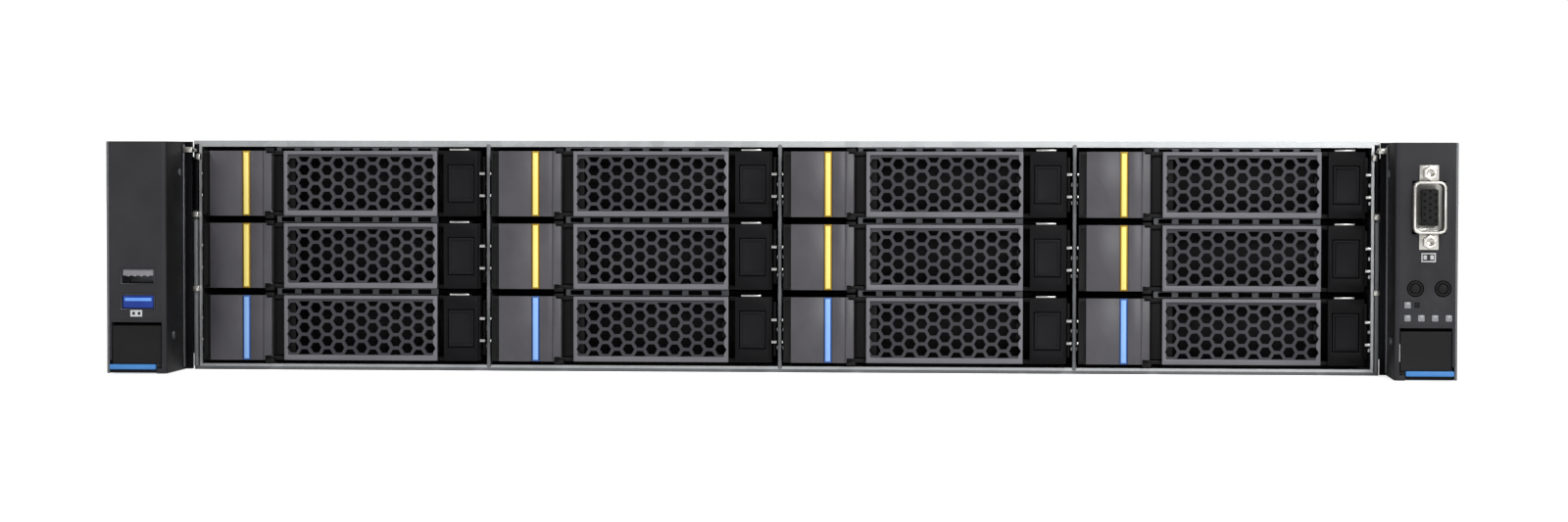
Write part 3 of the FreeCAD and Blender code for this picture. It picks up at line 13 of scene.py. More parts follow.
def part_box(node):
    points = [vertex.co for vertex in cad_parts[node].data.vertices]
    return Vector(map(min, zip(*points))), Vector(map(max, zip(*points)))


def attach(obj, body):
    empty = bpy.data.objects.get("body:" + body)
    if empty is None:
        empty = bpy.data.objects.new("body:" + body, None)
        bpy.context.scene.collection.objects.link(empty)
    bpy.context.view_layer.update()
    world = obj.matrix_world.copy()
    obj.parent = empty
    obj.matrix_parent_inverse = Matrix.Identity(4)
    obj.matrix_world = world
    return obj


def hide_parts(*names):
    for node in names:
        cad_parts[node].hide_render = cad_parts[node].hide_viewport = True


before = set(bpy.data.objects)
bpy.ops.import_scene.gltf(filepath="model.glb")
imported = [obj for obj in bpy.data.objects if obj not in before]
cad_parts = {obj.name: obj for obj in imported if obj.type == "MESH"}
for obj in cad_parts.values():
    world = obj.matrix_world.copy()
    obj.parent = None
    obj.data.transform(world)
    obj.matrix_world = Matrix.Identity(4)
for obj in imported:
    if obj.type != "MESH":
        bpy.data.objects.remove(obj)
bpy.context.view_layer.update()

# %% [markdown]
# The camera stands 1.3 m in front of the bays, a little right of the middle. It is just below
# the level of the cover, so that no top face shows, and it looks slightly down. Its place was
# solved from the straight edges of the rack front, so it is not a round number. Measures here
# are in millimetres, and MM turns them into Blender's metres.

# %% Camera
MM = 0.001


def look_from(place, yaw, pitch, roll, lens):
    """A camera that looks along +Y, turned by three small angles in degrees."""
    bpy.ops.object.select_all(action="DESELECT")
    bpy.ops.object.camera_add(location=Vector(place) * MM)
    camera = bpy.context.object
    camera.name = "PortraitCamera"
    ahead = Matrix.Rotation(math.radians(90 + pitch), 4, "X")
    rolled = Matrix.Rotation(math.radians(roll), 4, "Z")
    turned = Matrix.Rotation(math.radians(yaw), 4, "Z") @ ahead @ rolled
    camera.rotation_euler = turned.to_euler()
    camera.data.lens = lens
    camera.data.sensor_width = 36
    camera.data.clip_start, camera.data.clip_end = 0.01, 100
    bpy.context.scene.camera = camera


look_from((92.3, -1649.9, 80.0), 4.026, -1.736, 0.074, 81.27)
print("camera ready")

# %% [markdown]
# Each finish below is built from shader nodes. Small helpers keep that short: one turns a
# painter's colour into the linear light that a shader wants, one feeds a node its values and
# links, and one adds a node and feeds it in one line.

# %% Colour and node helpers


def linear(code):
    """Turn an sRGB hex colour into linear RGBA."""
    channels = [int(code[i:i + 2], 16) / 255 for i in (1, 3, 5)]
    return [c / 12.92 if c <= 0.04045 else ((c + 0.055) / 1.055) ** 2.4 for c in channels] + [1.0]


def feed(node, **inputs):
    """Set a node's inputs by name, or by number as i1, to a value or another node's socket."""
    for name, value in inputs.items():
        numbered = name[0] == "i" and name[1:].isdigit()
        socket = node.inputs[int(name[1:]) if numbered else name.replace("_", " ")]
        if isinstance(value, bpy.types.NodeSocket):
            node.id_data.links.new(value, socket)
        else:
            socket.default_value = value
    return node


def add_node(tree, kind, settings=None, **inputs):
    node = tree.nodes.new(kind)
    for name, setting in (settings or {}).items():
        setattr(node, name, setting)
    return feed(node, **inputs)


def start_material(name):
    """A new material and its tree, shader and object coordinates."""
    material = bpy.data.materials.new(name)
    material.use_nodes = True
    tree = material.node_tree
    shader = tree.nodes["Principled BSDF"]
    place = add_node(tree, "ShaderNodeTexCoord").outputs["Object"]
    return material, tree, shader, place


print("white in linear light:", linear("#ffffff"))

# %% [markdown]
# The carriers, levers and ears are moulded in filled ABS. The tool that shaped them was spark
# eroded, which leaves a fine even grain of about 0.15 mm. It takes the shine off and breaks
# up the light. The grain is drawn at 0.5 mm so that it still shows from a metre away.
# A second, slow noise gives the faint cloudiness that handling and moulding flow leave.

# %% Moulded plastics
GRAIN_MM, CLOUD_MM = 0.5, 28


def moulded_plastic(name, deep, pale, roughness, grain=0.12, shine=0.2):
    """Plastic between two tones; grain is the depth of the spark marks, shine the gloss."""
    material, tree, shader, place = start_material(name)
    cloud = add_node(tree, "ShaderNodeTexNoise", Vector=place, Scale=1000 / CLOUD_MM, Detail=4.0,
                     Roughness=0.6)
    spark = add_node(tree, "ShaderNodeTexNoise", Vector=place, Scale=1000 / GRAIN_MM / 2, Detail=1.0)
    tone = add_node(tree, "ShaderNodeMapRange", Value=cloud.outputs[0], i1=0.3, i2=0.7)
    rough = add_node(tree, "ShaderNodeMapRange", Value=cloud.outputs[0],
                     i3=roughness - 0.06, i4=roughness + 0.06)
    bump = add_node(tree, "ShaderNodeBump", Height=spark.outputs[0], Strength=grain, Distance=0.0001)
    colour = add_node(tree, "ShaderNodeMix", {"data_type": "RGBA"},
                      i0=tone.outputs[0], i6=linear(deep), i7=linear(pale))
    feed(shader, Base_Color=colour.outputs[2], Roughness=rough.outputs[0], Normal=bump.outputs[0],
         IOR=1.53, Specular_IOR_Level=shine)
    return material


bezel_abs = moulded_plastic("Bezel ABS spark grain", "#3a383d", "#4d4b50", 0.4, shine=0.5)
lever_abs = moulded_plastic("Lever ABS spark grain", "#3a393e", "#464549", 0.46, shine=0.12)
highlight_rim_abs = moulded_plastic("Lever ABS frame painted highlight", "#66656a", "#737278", 0.36)
panel_dark_reflection_abs = moulded_plastic("Button panel ABS painted dark reflection", "#0c0c0e", "#131315", 0.5, shine=0.08)
button_abs = moulded_plastic("Button ABS satin", "#161618", "#1c1c1f", 0.5, shine=0.08)
ear_abs = moulded_plastic("Ear ABS spark grain", "#2a2a2c", "#343437", 0.5, shine=0.12)
latch_abs = moulded_plastic("Latch panel ABS smooth", "#1a1a1b", "#202021", 0.5, grain=0.05, shine=0.1)
# Real black parts take this, and so does painted shade in hollows, recesses and what lies behind them.
black_abs_and_shade = moulded_plastic("Black ABS and painted shade", "#070708", "#0c0c0e", 0.55)
lip_abs = moulded_plastic("Touch point ABS blue", "#3a72b2", "#4c88c6", 0.38)
yellow_abs = moulded_plastic("Stripe ABS yellow", "#f0dc74", "#f6e68a", 0.4, grain=0.04)
blue_abs = moulded_plastic("Stripe ABS light blue", "#80acea", "#94bcf2", 0.4, grain=0.04)
yellow_shaded_flank_abs = moulded_plastic("Stripe flank yellow painted shade", "#9a7a22", "#a8882c", 0.45)
blue_shaded_flank_abs = moulded_plastic("Stripe flank blue painted shade", "#3a5c9c", "#4668a8", 0.45)
usb_blue_abs = moulded_plastic("Socket tongue blue", "#1c3486", "#25429a", 0.4)
print("plastics:", len([m for m in bpy.data.materials if "ABS" in m.name]))

# %% [markdown]
# The chassis is folded from zinc-coated steel sheet. Hot zinc sets in soft-edged flakes, a
# few millimetres across, which differ slightly in tone. The sockets are nickel-plated, which
# is smoother and warmer. Springs, screws and black-coated plates take the same flakes at a
# smaller size or a darker tone.

# %% Metals
SMEAR_MM = 60


def zinc_sheet(name, deep, pale, roughness, flake_mm=5.0):
    """Metal in flakes between two tones, blurred by a slow smear."""
    material, tree, shader, place = start_material(name)
    flakes = add_node(tree, "ShaderNodeTexVoronoi", Vector=place, Scale=1000 / flake_mm)
    smear = add_node(tree, "ShaderNodeTexNoise", Vector=place, Scale=1000 / SMEAR_MM, Detail=3.0)
    both = add_node(tree, "ShaderNodeMath", {"operation": "MULTIPLY_ADD"},
                    i0=flakes.outputs["Color"], i1=0.5, i2=smear.outputs[0])
    tone = add_node(tree, "ShaderNodeMapRange", Value=both.outputs[0], i1=0.4, i2=1.1)
    rough = add_node(tree, "ShaderNodeMapRange", Value=both.outputs[0], i1=0.4, i2=1.1,
                     i3=roughness - 0.05, i4=roughness + 0.08)
    colour = add_node(tree, "ShaderNodeMix", {"data_type": "RGBA"},
                      i0=tone.outputs[0], i6=linear(deep), i7=linear(pale))
    feed(shader, Base_Color=colour.outputs[2], Roughness=rough.outputs[0], Metallic=0.9)
    return material


chassis_zinc = zinc_sheet("Zinc-coated steel sheet", "#76787a", "#8a8c8e", 0.66)
cage_zinc = zinc_sheet("Zinc-coated cage sheet", "#8e9092", "#a6a8aa", 0.46)
nickel = zinc_sheet("Nickel plate", "#c6c4be", "#d2d0ca", 0.28, flake_mm=3.0)
spring_steel = zinc_sheet("Spring steel", "#b4b4b2", "#cacac8", 0.3, flake_mm=2.0)
screw_steel = zinc_sheet("Blackened screw steel", "#55565a", "#6b6c70", 0.35, flake_mm=0.8)
# Black-coated plates take this, and the contact springs take it as painted shade.
black_steel_and_shade = zinc_sheet("Black-coated steel sheet and painted shade", "#0c0c0e", "#141417", 0.4)
print("finishes so far:", len(bpy.data.materials))

# %% [markdown]
# The fine pieces are shaped as by hand. Each starts as a primitive at its size and place. All
# is deselected first, because an operator acts on all that is selected. The place goes into
# the mesh, so the object itself sits at the origin.

# %% Primitives


def only(*chosen):
    """Select these objects alone; the last becomes the active one."""
    bpy.ops.object.select_all(action="DESELECT")
    for item in chosen:
        item.select_set(True)
    bpy.context.view_layer.objects.active = chosen[-1]


def settle(name):
    """Name the new primitive and put its place into its mesh."""
    piece = bpy.context.object
    piece.name = piece.data.name = name
    bpy.ops.object.transform_apply(location=True, rotation=True, scale=True)
    return piece


def brick(name, low, high, origin=(0, 0, 0)):
    """A cube between two corners, in millimetres from an origin in millimetres."""
    low, high = (Vector(low) + Vector(origin)) * MM, (Vector(high) + Vector(origin)) * MM
    bpy.ops.object.select_all(action="DESELECT")
    bpy.ops.mesh.primitive_cube_add(size=1, location=(low + high) / 2, scale=high - low)
    return settle(name)


def bar(name, middle, radius, length, axis="Y", sides=24, origin=(0, 0, 0)):
    """A round or many-sided bar about its middle, in millimetres."""
    turn = {"X": (0, math.pi / 2, 0), "Y": (math.pi / 2, 0, 0), "Z": (0, 0, 0)}[axis]
    bpy.ops.object.select_all(action="DESELECT")
    bpy.ops.mesh.primitive_cylinder_add(vertices=sides, radius=radius * MM, depth=length * MM, rotation=turn,
                                        location=(Vector(middle) + Vector(origin)) * MM)
    return settle(name)


print("primitives ready: brick and bar")

# %% [markdown]
# Faces and edges are picked by where they lie or point, and edit operators or booleans give
# the piece its form. A last bevel breaks the sharp edges, as every moulding and every blanked
# sheet has.

# %% Shaping


def pick(piece, wanted, kind="FACE"):
    """Enter edit mode with the faces or edges that the test names."""
    only(piece)
    bpy.ops.object.mode_set(mode="EDIT")
    bpy.ops.mesh.select_mode(type=kind)
    bpy.ops.mesh.select_all(action="DESELECT")
    bpy.ops.object.mode_set(mode="OBJECT")
    for part in piece.data.polygons if kind == "FACE" else piece.data.edges:
        part.select = wanted(part)
    bpy.ops.object.mode_set(mode="EDIT")


def back_to_object():
    bpy.ops.object.mode_set(mode="OBJECT")


def facing(axis, sign):
    """A test for faces whose normal points along an axis."""
    return lambda face: face.normal["XYZ".index(axis)] * sign > 0.9


def terrace(piece, wanted, *steps):
    """Inset the picked faces in steps, each a border and then a shift in Y and Z."""
    pick(piece, wanted)
    for border, along, up in steps:
        bpy.ops.mesh.inset(thickness=border * MM)
        if along or up:
            bpy.ops.transform.translate(value=(0, along * MM, up * MM))
    back_to_object()
    return piece


def long_edges(piece, axis, length, test=lambda middle: True):
    """A test for edges that run along an axis and whose middle passes another test."""
    def wanted(edge):
        first, last = (piece.data.vertices[index].co for index in edge.vertices)
        return abs((first - last)["XYZ".index(axis)]) > length * MM and test((first + last) / 2)
    return wanted


def shape(piece, kind, **settings):
    """Add a modifier and apply it."""
    only(piece)
    modifier = piece.modifiers.new(kind.title(), kind)
    for name, setting in settings.items():
        setattr(modifier, name, setting)
    bpy.ops.object.modifier_apply(modifier=modifier.name)
    return piece


def carve(piece, *cutters, way="DIFFERENCE"):
    """Take the cutters out of a piece, or add them to it."""
    for cutter in cutters:
        shape(piece, "BOOLEAN", object=cutter, operation=way, solver="EXACT")
        bpy.data.objects.remove(cutter)
    return piece


def join(*pieces):
    """Make one object of several; the first gives its name."""
    only(*pieces[1:], pieces[0])
    bpy.ops.object.join()
    return pieces[0]


def finish_edges(piece, width, segments=2):
    """Break the sharp edges and smooth the rest."""
    shape(piece, "BEVEL", width=width * MM, segments=segments, limit_method="ANGLE",
          angle_limit=math.radians(40))
    only(piece)
    bpy.ops.object.shade_smooth_by_angle(angle=math.radians(35))
    return piece


print("shaping helpers ready")

# %% [markdown]
# A bay is drawn from one corner: the middle of the divider on its left, the plane of the
# carrier's face, and the floor of its row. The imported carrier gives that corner, less the
# small gaps that let it slide. Every moulding of a bay's face spans from LOW to HIGH.

# %% Places of the bays
SIDE_GAP, FLOOR_GAP, FACE_TALL = 0.8, 0.25, 23.9
BAYS = [f"{number:02d}" for number in range(1, 13)]
carrier_low = {bay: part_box("carrier_" + bay)[0] for bay in BAYS}
shift_to = {bay: carrier_low[bay] - carrier_low["01"] for bay in BAYS}
PITCH = (carrier_low["02"] - carrier_low["01"]).x / MM
ROW = (carrier_low["05"] - carrier_low["01"]).z / MM
bay_corner = Vector((carrier_low["01"].x / MM - SIDE_GAP, carrier_low["01"].y / MM,
                     carrier_low["01"].z / MM - FLOOR_GAP))
LOW, HIGH = (ROW - FACE_TALL) / 2, (ROW + FACE_TALL) / 2
print(f"bays {PITCH:.1f} mm apart, rows {ROW:.1f} mm, first corner {[round(v, 1) for v in bay_corner]}")

# %% [markdown]
# A finished piece gets its material, and faces of another stuff get a second one, by where
# they lie in the bay. A copy has its own mesh, and moves inside it.

# %% Paint and copies


def bay_brick(name, low, high):
    return brick(name, low, high, bay_corner)


def paint(piece, *materials):
    piece.data.materials.clear()
    for material in materials:
        piece.data.materials.append(material)
    return piece


def tint(piece, material, test):
    """Give another material to the faces whose middle, in bay millimetres, passes a test."""
    piece.data.materials.append(material)
    index = len(piece.data.materials) - 1
    for face in piece.data.polygons:
        if test(face.center / MM - bay_corner, face.normal):
            face.material_index = index
    return piece


def copy_to(piece, name, shift):
    twin = piece.copy()
    twin.data = piece.data.copy()
    twin.name = twin.data.name = name
    bpy.context.scene.collection.objects.link(twin)
    twin.data.transform(Matrix.Translation(shift))
    return twin


print("bay face from", round(LOW, 2), "to", round(HIGH, 2), "mm above its floor")

# %% [markdown]
# ** Carrier bezel.** On the real carrier one moulding makes the colour plate on the left, the
# box frame behind the lever and the button panel on the right. It could be one extruded
# outline, but its faces lie at different depths, so it is made from bricks joined by
# booleans, with the seats cut in afterwards, and the edges are broken by a small bevel. Two
# notches by the lever's hinge leave room for the lugs. The inside, and the strip and slot in
# the left edge, are painted black as shade, and the button panel is painted near-black for
# the dark reflections in its gloss.

# %% Carrier bezel
SEAT_LEFT, SEAT_RIGHT = 27.2, 91.2


def model_bezel():
    plate = bay_brick("bezel", (1.5, 0, LOW), (SEAT_LEFT, 2.0, HIGH))
    frame_box = bay_brick("frame", (2.9, 1.9, LOW), (104.4, 20, HIGH))
    hollow = bay_brick("hollow", (4.3, 1.0, LOW + 1.4), (103.0, 21, HIGH - 1.4))
    carve(frame_box, hollow)
    panel = bay_brick("panel", (SEAT_RIGHT, 0, LOW), (103.8, 2.0, HIGH))
    carve(plate, frame_box, panel, way="UNION")
    seats = {"lever seat": ((SEAT_LEFT, -1, LOW - 2), (SEAT_RIGHT, 3.2, HIGH + 2)),
             "strip": ((1, -1, LOW - 1), (4.3, 0.7, HIGH + 1)),
             "slot": ((2.1, -1, LOW + 1.4), (4.3, 1.5, HIGH - 1.2)),
             "stripe seat": ((16.2, -1, LOW - 1), (19.4, 0.6, HIGH + 1)),
             "groove": ((23.9, -1, LOW - 1), (24.3, 0.35, HIGH + 1)),
             "window": ((92.6, -1, LOW + 4.9), (102.4, 4, HIGH - 4.9)),
             "low notch": ((24.6, -1, LOW - 1), (28, 2.2, LOW + 1.7)),
             "high notch": ((25.2, -1, HIGH - 0.9), (28, 2.2, HIGH + 1))}
    carve(plate, *[bay_brick(name, *corners) for name, corners in seats.items()])
    paint(finish_edges(plate, 0.28), bezel_abs)
    # Painted reflection: the button panel of the same moulding is painted near-black for the dark
    # surroundings that its gloss mirrors.
    tint(plate, panel_dark_reflection_abs, lambda middle, normal: middle.x > 90.8 and middle.y < 3)
    # Painted shade: the hollow behind the face, and the strip and slot in the left edge, are painted black.
    tint(plate, black_abs_and_shade,
         lambda middle, normal: middle.y > 2.1 or (middle.x < 4.35 and middle.y > 0.4))
    return plate


def model_stripe():
    """The coloured stripe: a bar whose inset front stands proud, with sloping flanks."""
    stripe = bay_brick("stripe", (16.4, 0.3, LOW + 0.05), (19.2, 0.7, HIGH - 0.05))
    return finish_edges(terrace(stripe, facing("Y", -1), (0.55, -0.4, 0)), 0.05, 1)


bezel_master = model_bezel()
stripe_master = model_stripe()
print("bezel faces:", len(bezel_master.data.polygons))

# %% [markdown]
# **Lever with its honeycomb.** The lever is a perforated door: thirteen columns of six-sided
# holes let the air in to the drive. The honeycomb is punched by a grid of six-sided
# cutters in one boolean. Every other column is half a step up, and a pair of bisecting
# planes trims the grid, so that half holes end those columns.

# %% Honeycomb lever
HOLE_FLATS, HOLE_STEP = 3.75, 4.9
COLUMN_STEP = HOLE_STEP * math.sqrt(3) / 2
SIDE_COLUMNS = 6
GRILLE_LEFT, GRILLE_RIGHT = 33.4, 87.4
LEVER_LEFT, LEVER_RIGHT = 31.7, 88.7
HINGE_X, HINGE_Y = 26.2, 4.8


def hole_cutter(across, up):
    """One six-sided cutter with level flats."""
    middle = (across, 2.0, up)
    cutter = bar("cutter", middle, HOLE_FLATS / math.sqrt(3), 4.4, "Y", 6, bay_corner)
    only(cutter)
    bpy.ops.object.mode_set(mode="EDIT")
    bpy.ops.mesh.select_all(action="SELECT")
    bpy.ops.transform.rotate(value=math.radians(30), orient_axis="Y",
                             center_override=(Vector(middle) + bay_corner) * MM)
    back_to_object()
    return cutter


def model_honeycomb():
    """All the cutters of one grille, joined."""
    middle_x, middle_z = (GRILLE_LEFT + GRILLE_RIGHT) / 2, ROW / 2
    cutters = []
    for column in range(-SIDE_COLUMNS, SIDE_COLUMNS + 1):
        count = 4 if column % 2 == 0 else 5
        for row in range(count):
            up = middle_z + (row - (count - 1) / 2) * HOLE_STEP
            cutters.append(hole_cutter(middle_x + column * COLUMN_STEP, up))
    grid = join(*cutters)
    limit = HOLE_STEP * 2 + 0.1
    for up, clear_low in ((middle_z - limit, True), (middle_z + limit, False)):
        only(grid)
        bpy.ops.object.mode_set(mode="EDIT")
        bpy.ops.mesh.select_all(action="SELECT")
        bpy.ops.mesh.bisect(plane_co=(Vector((0, 0, up)) + bay_corner) * MM, plane_no=(0, 0, 1),
                            clear_inner=clear_low, clear_outer=not clear_low, use_fill=True)
        back_to_object()
    return grid


def model_lever():
    """The perforated plate, its arm and hub on the hinge pin, the cam and the nose."""
    plate = bay_brick("lever", (LEVER_LEFT, 0.4, LOW), (LEVER_RIGHT, 2.9, HIGH))
    sink = bay_brick("sink", (33.2, -1, LOW + 2.0), (87.0, 0.9, HIGH - 1.3))
    carve(plate, sink)
    paint(finish_edges(plate, 0.3), lever_abs)
    # Painted highlight: the front faces of the raised border are painted a paler grey for the light that
    # their edges catch.
    tint(plate, highlight_rim_abs, lambda middle, normal: middle.y < 0.6 and normal.y < -0.5)
    carve(plate, model_honeycomb())
    arm = bay_brick("arm", (HINGE_X, 3.8, LOW + 1.7), (35.6, 6.2, HIGH - 1.7))
    link = bay_brick("link", (32.6, 2.8, LOW + 1.7), (35.6, 4.2, HIGH - 1.7))
    hub = bar("hub", (HINGE_X, HINGE_Y, ROW / 2), 2.0, 20.5, "Z", 24, bay_corner)
    cam = bay_brick("cam", (1.6, 3.3, ROW / 2 - 3), (25.4, 6.3, ROW / 2 + 3))
    nose = bay_brick("nose", (86.2, 2.8, ROW / 2 - 3), (LEVER_RIGHT, 7.5, ROW / 2 + 3))
    # Painted shade: the arm, link, hub, cam and nose lie behind the slot and the holes and are painted
    # black.
    for limb in (arm, link, hub, cam, nose):
        paint(finish_edges(limb, 0.2), black_abs_and_shade)
    pin = bar("pin", (HINGE_X, HINGE_Y, ROW / 2), 1.0, 25.5, "Z", 16, bay_corner)
    return join(plate, arm, link, hub, cam, nose, paint(pin, spring_steel))


lever_master = model_lever()
only(lever_master)
bpy.ops.object.shade_smooth_by_angle(angle=math.radians(30))
print("lever faces:", len(lever_master.data.polygons))

# %% [markdown]
# **Release button.** The button is a separate cap that slides in the panel's window. Its
# face is a shallow dish with a raised rim, and a ridge along the bottom edge for the thumb.
# Insetting the front face twice gives the rim and the dish without any cutters.

# %% Release button


def model_button():
    cap = bay_brick("button", (92.9, 0.3, LOW + 5.2), (102.1, 2.8, HIGH - 5.2))
    terrace(cap, facing("Y", -1), (0.7, 0, 0), (0.3, 0.5, 0))
    ridge = bay_brick("ridge", (93.8, 0.1, LOW + 5.5), (101.2, 1.2, LOW + 6.3))
    stem = bay_brick("stem", (95.0, 2.7, ROW / 2 - 3), (100.0, 9, ROW / 2 + 3))
    return join(*[finish_edges(part, 0.15) for part in (cap, ridge, stem)])


button_master = paint(model_button(), button_abs)
print("button faces:", len(button_master.data.polygons))

# %% [markdown]
# ** Tray and drive.** Behind the bezel a bent steel tray holds the drive by its sides. The
# drive itself is a die-cast box, black from its dip coat, with a bare stamped lid that has a
# pressed field; the casting is painted this dark also as shade, for the dim inside of the
# carrier seen through the grille. Both show when a carrier is drawn out. The front ends of
# the tray are painted black as shade, as they lie in the shadow of the bezel.

# %% Tray and drive
DRIVE_MID = PITCH / 2
DRIVE_HALF = 50.8


def model_tray():
    parts = []
    for side in (-1, 1):
        inner, outer = DRIVE_MID + side * 50.95, DRIVE_MID + side * 52.15
        edge = DRIVE_MID + side * 52.85
        rail = bay_brick("tray", (min(inner, outer), 6, ROW / 2 - 10),
                         (max(inner, outer), 175.4, ROW / 2 + 10))
        if side < 0:
            carve(rail, bay_brick("cam window", (inner - 3, 5, ROW / 2 - 3.3),
                                  (outer + 3, 18.6, ROW / 2 + 3.3)))
        runner = bay_brick("runner", (min(outer, edge), 20, 7.5), (max(outer, edge), 174, 12.3))
        parts += [finish_edges(rail, 0.3), finish_edges(runner, 0.2)]
    strip = bay_brick("strip", (DRIVE_MID - 51.5, 174.2, ROW / 2 + 6),
                      (DRIVE_MID + 51.5, 175.4, ROW / 2 + 10))
    return join(*parts, finish_edges(strip, 0.2))


def model_drive():
    body = bay_brick("drive", (DRIVE_MID - DRIVE_HALF, 27, 0.25), (DRIVE_MID + DRIVE_HALF, 174, 26.35))
    pick(body, long_edges(body, "Z", 20, lambda middle: middle.y < (bay_corner.y + 40) * MM), "EDGE")
    bpy.ops.mesh.bevel(offset=6 * MM, segments=1)
    back_to_object()
    carve(body, bay_brick("plug notch", (DRIVE_MID - 38, 168, 0), (DRIVE_MID + 8, 175, 7.2)),
          bay_brick("lid step", (DRIVE_MID - 52, 160, 25.15), (DRIVE_MID + 52, 175, 27)))
    terrace(body, lambda face: face.normal.z > 0.9 and face.area > 0.008, (4, 0, 0), (1, 0, -0.4))
    return finish_edges(body, 0.4)


# Painted shade in part: the casting is black from its coat, and dark enough to stand for the shade behind
# the grille.
casting_coat_and_shade = moulded_plastic("Black e-coat and painted shade on casting", "#141416", "#1c1c1f", 0.5)
lid_steel = zinc_sheet("Drive lid steel", "#9c9d9f", "#acadaf", 0.34, flake_mm=0.9)
# Painted shade: the front ends of the steel tray are painted black.
tray_master = tint(paint(model_tray(), cage_zinc), black_abs_and_shade, lambda middle, normal: middle.y < 12)
drive_master = paint(model_drive(), casting_coat_and_shade)
tint(drive_master, lid_steel, lambda middle, normal: normal.z > 0.5)
print("tray", len(tray_master.data.polygons), "drive", len(drive_master.data.polygons))

# %% [markdown]
# **Lugs and tabs.** A black lug above and below the bezel carries the lever's pin. A bright
# tab of spring steel stands over the button panel; its front edge is pulled forward and up
# into a lip that presses on the cage, so that the steel bodies stay in electric contact.

# %% Lugs and tabs


def model_lugs():
    top = bay_brick("lugs", (24.5, 1.0, HIGH - 0.6), (27.9, 6.8, HIGH + 1.0))
    bottom = bay_brick("lug", (24.5, 1.0, LOW - 1.0), (27.9, 6.8, LOW + 0.6))
    return join(finish_edges(top, 0.35), finish_edges(bottom, 0.35))


def model_tab():
    tab = bay_brick("tab", (93.4, 0.6, HIGH - 0.1), (100.6, 8.0, HIGH + 0.5))
    pick(tab, facing("Y", -1))
    bpy.ops.mesh.extrude_region_move(TRANSFORM_OT_translate={"value": (0, -0.5 * MM, 0.35 * MM)})
    back_to_object()
    return finish_edges(tab, 0.12)


lug_master = paint(model_lugs(), black_abs_and_shade)
tab_master = paint(model_tab(), spring_steel)
print("lug faces:", len(lug_master.data.polygons), "tab faces:", len(tab_master.data.polygons))

# %% [markdown]
# ** Setting the twelve bays.** Everything above was modelled once, in the first bay. Each
# bay gets copies with their own meshes. The stripe is light blue in the lowest row and
# yellow in the two above it, and its sloping flanks are painted a darker tone of the same
# colour as shade.

# %% Setting the bays
MASTERS = {"bezel": bezel_master, "stripe": stripe_master, "tray": tray_master, "drive": drive_master,
           "lugs": lug_master, "tab": tab_master, "grille": lever_master, "release": button_master}
for bay in BAYS:
    made = {name: copy_to(master, f"{name}_{bay}", shift_to[bay]) for name, master in MASTERS.items()}
    face_abs, stripe_side_shade_abs = (blue_abs, blue_shaded_flank_abs) if int(bay) <= 4 else (yellow_abs, yellow_shaded_flank_abs)
    # Painted shade: the flanks and sides of the stripe are painted a darker tone of its colour.
    tint(paint(made["stripe"], face_abs), stripe_side_shade_abs, lambda middle, normal: normal.y > -0.9)
    for name, piece in made.items():
        body = {"grille": "lever_", "release": "button_"}.get(name, "carrier_") + bay
        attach(piece, body)
    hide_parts("carrier_" + bay)
    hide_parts("lever_" + bay)
    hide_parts("button_" + bay)
for master in MASTERS.values():
    bpy.data.objects.remove(master)
print("bays set:", len(BAYS))

# %% [markdown]
# ** Contact springs and divider hems.** Sprung steel fingers wrap round both ends of a carrier
# face, two to a side, and touch the divider; only their front tips are bright, and the parts
# that run back into the gap are painted black as shade. The front edge of each divider is
# folded back on itself, which doubles the sheet and leaves a bright rounded edge. Above each
# row runs a steel strip with eight windows that let air in over the drives.

# %% Contact springs and hems
FACE_Y = bay_corner.y
CAGE_FRONT = 3.5
HEM_HALF = 0.72
WINDOW_STEP = 7.25
grey_steel = zinc_sheet("Phosphated steel strip", "#4c4d50", "#5c5d60", 0.5)


def model_springs():
    parts = []
    for up in (8.9, 17.0):
        for near, far, wrap in ((0.85, 1.45, (0.85, 1.2)), (104.5, 106.35, (105.9, 106.35))):
            front = bay_brick("springs", (near, 0.1, up - 0.45), (far, 0.5, up + 0.45))
            side = bay_brick("spring side", (wrap[0], 0.1, up - 0.45), (wrap[1], 9.0, up + 0.45))
            carve(front, side, way="UNION")
            parts.append(finish_edges(front, 0.1))
    return join(*parts)


spring_master = paint(model_springs(), black_steel_and_shade)
# Painted shade: all of each spring behind its front tip is painted black.
tint(spring_master, spring_steel, lambda middle, normal: middle.y < 0.6)
for bay in BAYS:
    spring = copy_to(spring_master, "springs_" + bay, shift_to[bay])
    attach(spring, "carrier_" + bay)
bpy.data.objects.remove(spring_master)

for number in range(1, 4):
    across = (number - 2) * PITCH
    hem = brick(f"divider_hem_{number}", (across - HEM_HALF, FACE_Y + CAGE_FRONT - 0.5, 1.3),
                (across + HEM_HALF, FACE_Y + CAGE_FRONT + 2.6, 83.3))
    paint(finish_edges(hem, 0.4, 3), chassis_zinc)
    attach(hem, "chassis")


def model_gap_strip(name, corner):
    strip = brick(name, (28.6, CAGE_FRONT, -1.15), (88.6, CAGE_FRONT + 0.8, 1.15), corner)
    windows = [brick("window", (30.3 + WINDOW_STEP * step, 0, -0.85),
                     (35.2 + WINDOW_STEP * step, 9, 0.85), corner) for step in range(8)]
    carve(strip, join(*windows))
    return paint(finish_edges(strip, 0.12, 1), grey_steel)


for row, drop in ((1, 0), (2, 0), (3, 1.2)):
    for column in range(4):
        corner = (bay_corner.x + column * PITCH, FACE_Y, bay_corner.z + row * ROW - drop)
        strip = model_gap_strip(f"gap_strip_{row}_{column + 1}", corner)
        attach(strip, "chassis")
print("springs, hems and strips set")

# %% [markdown]
# **Ears.** Each ear is a moulded housing 22 mm wide that stands 30 mm in front of the rack
# flange. A steel angle wraps its outer side, so a light edge runs down it. The housing is a
# brick hollowed from behind; its inner front edge gets a wide round and the rest a small one.
# A sill crosses it above the latch, and a curtain inside keeps light from showing there. The
# left ear holds two USB sockets, the right one a VGA socket, lights and two buttons.

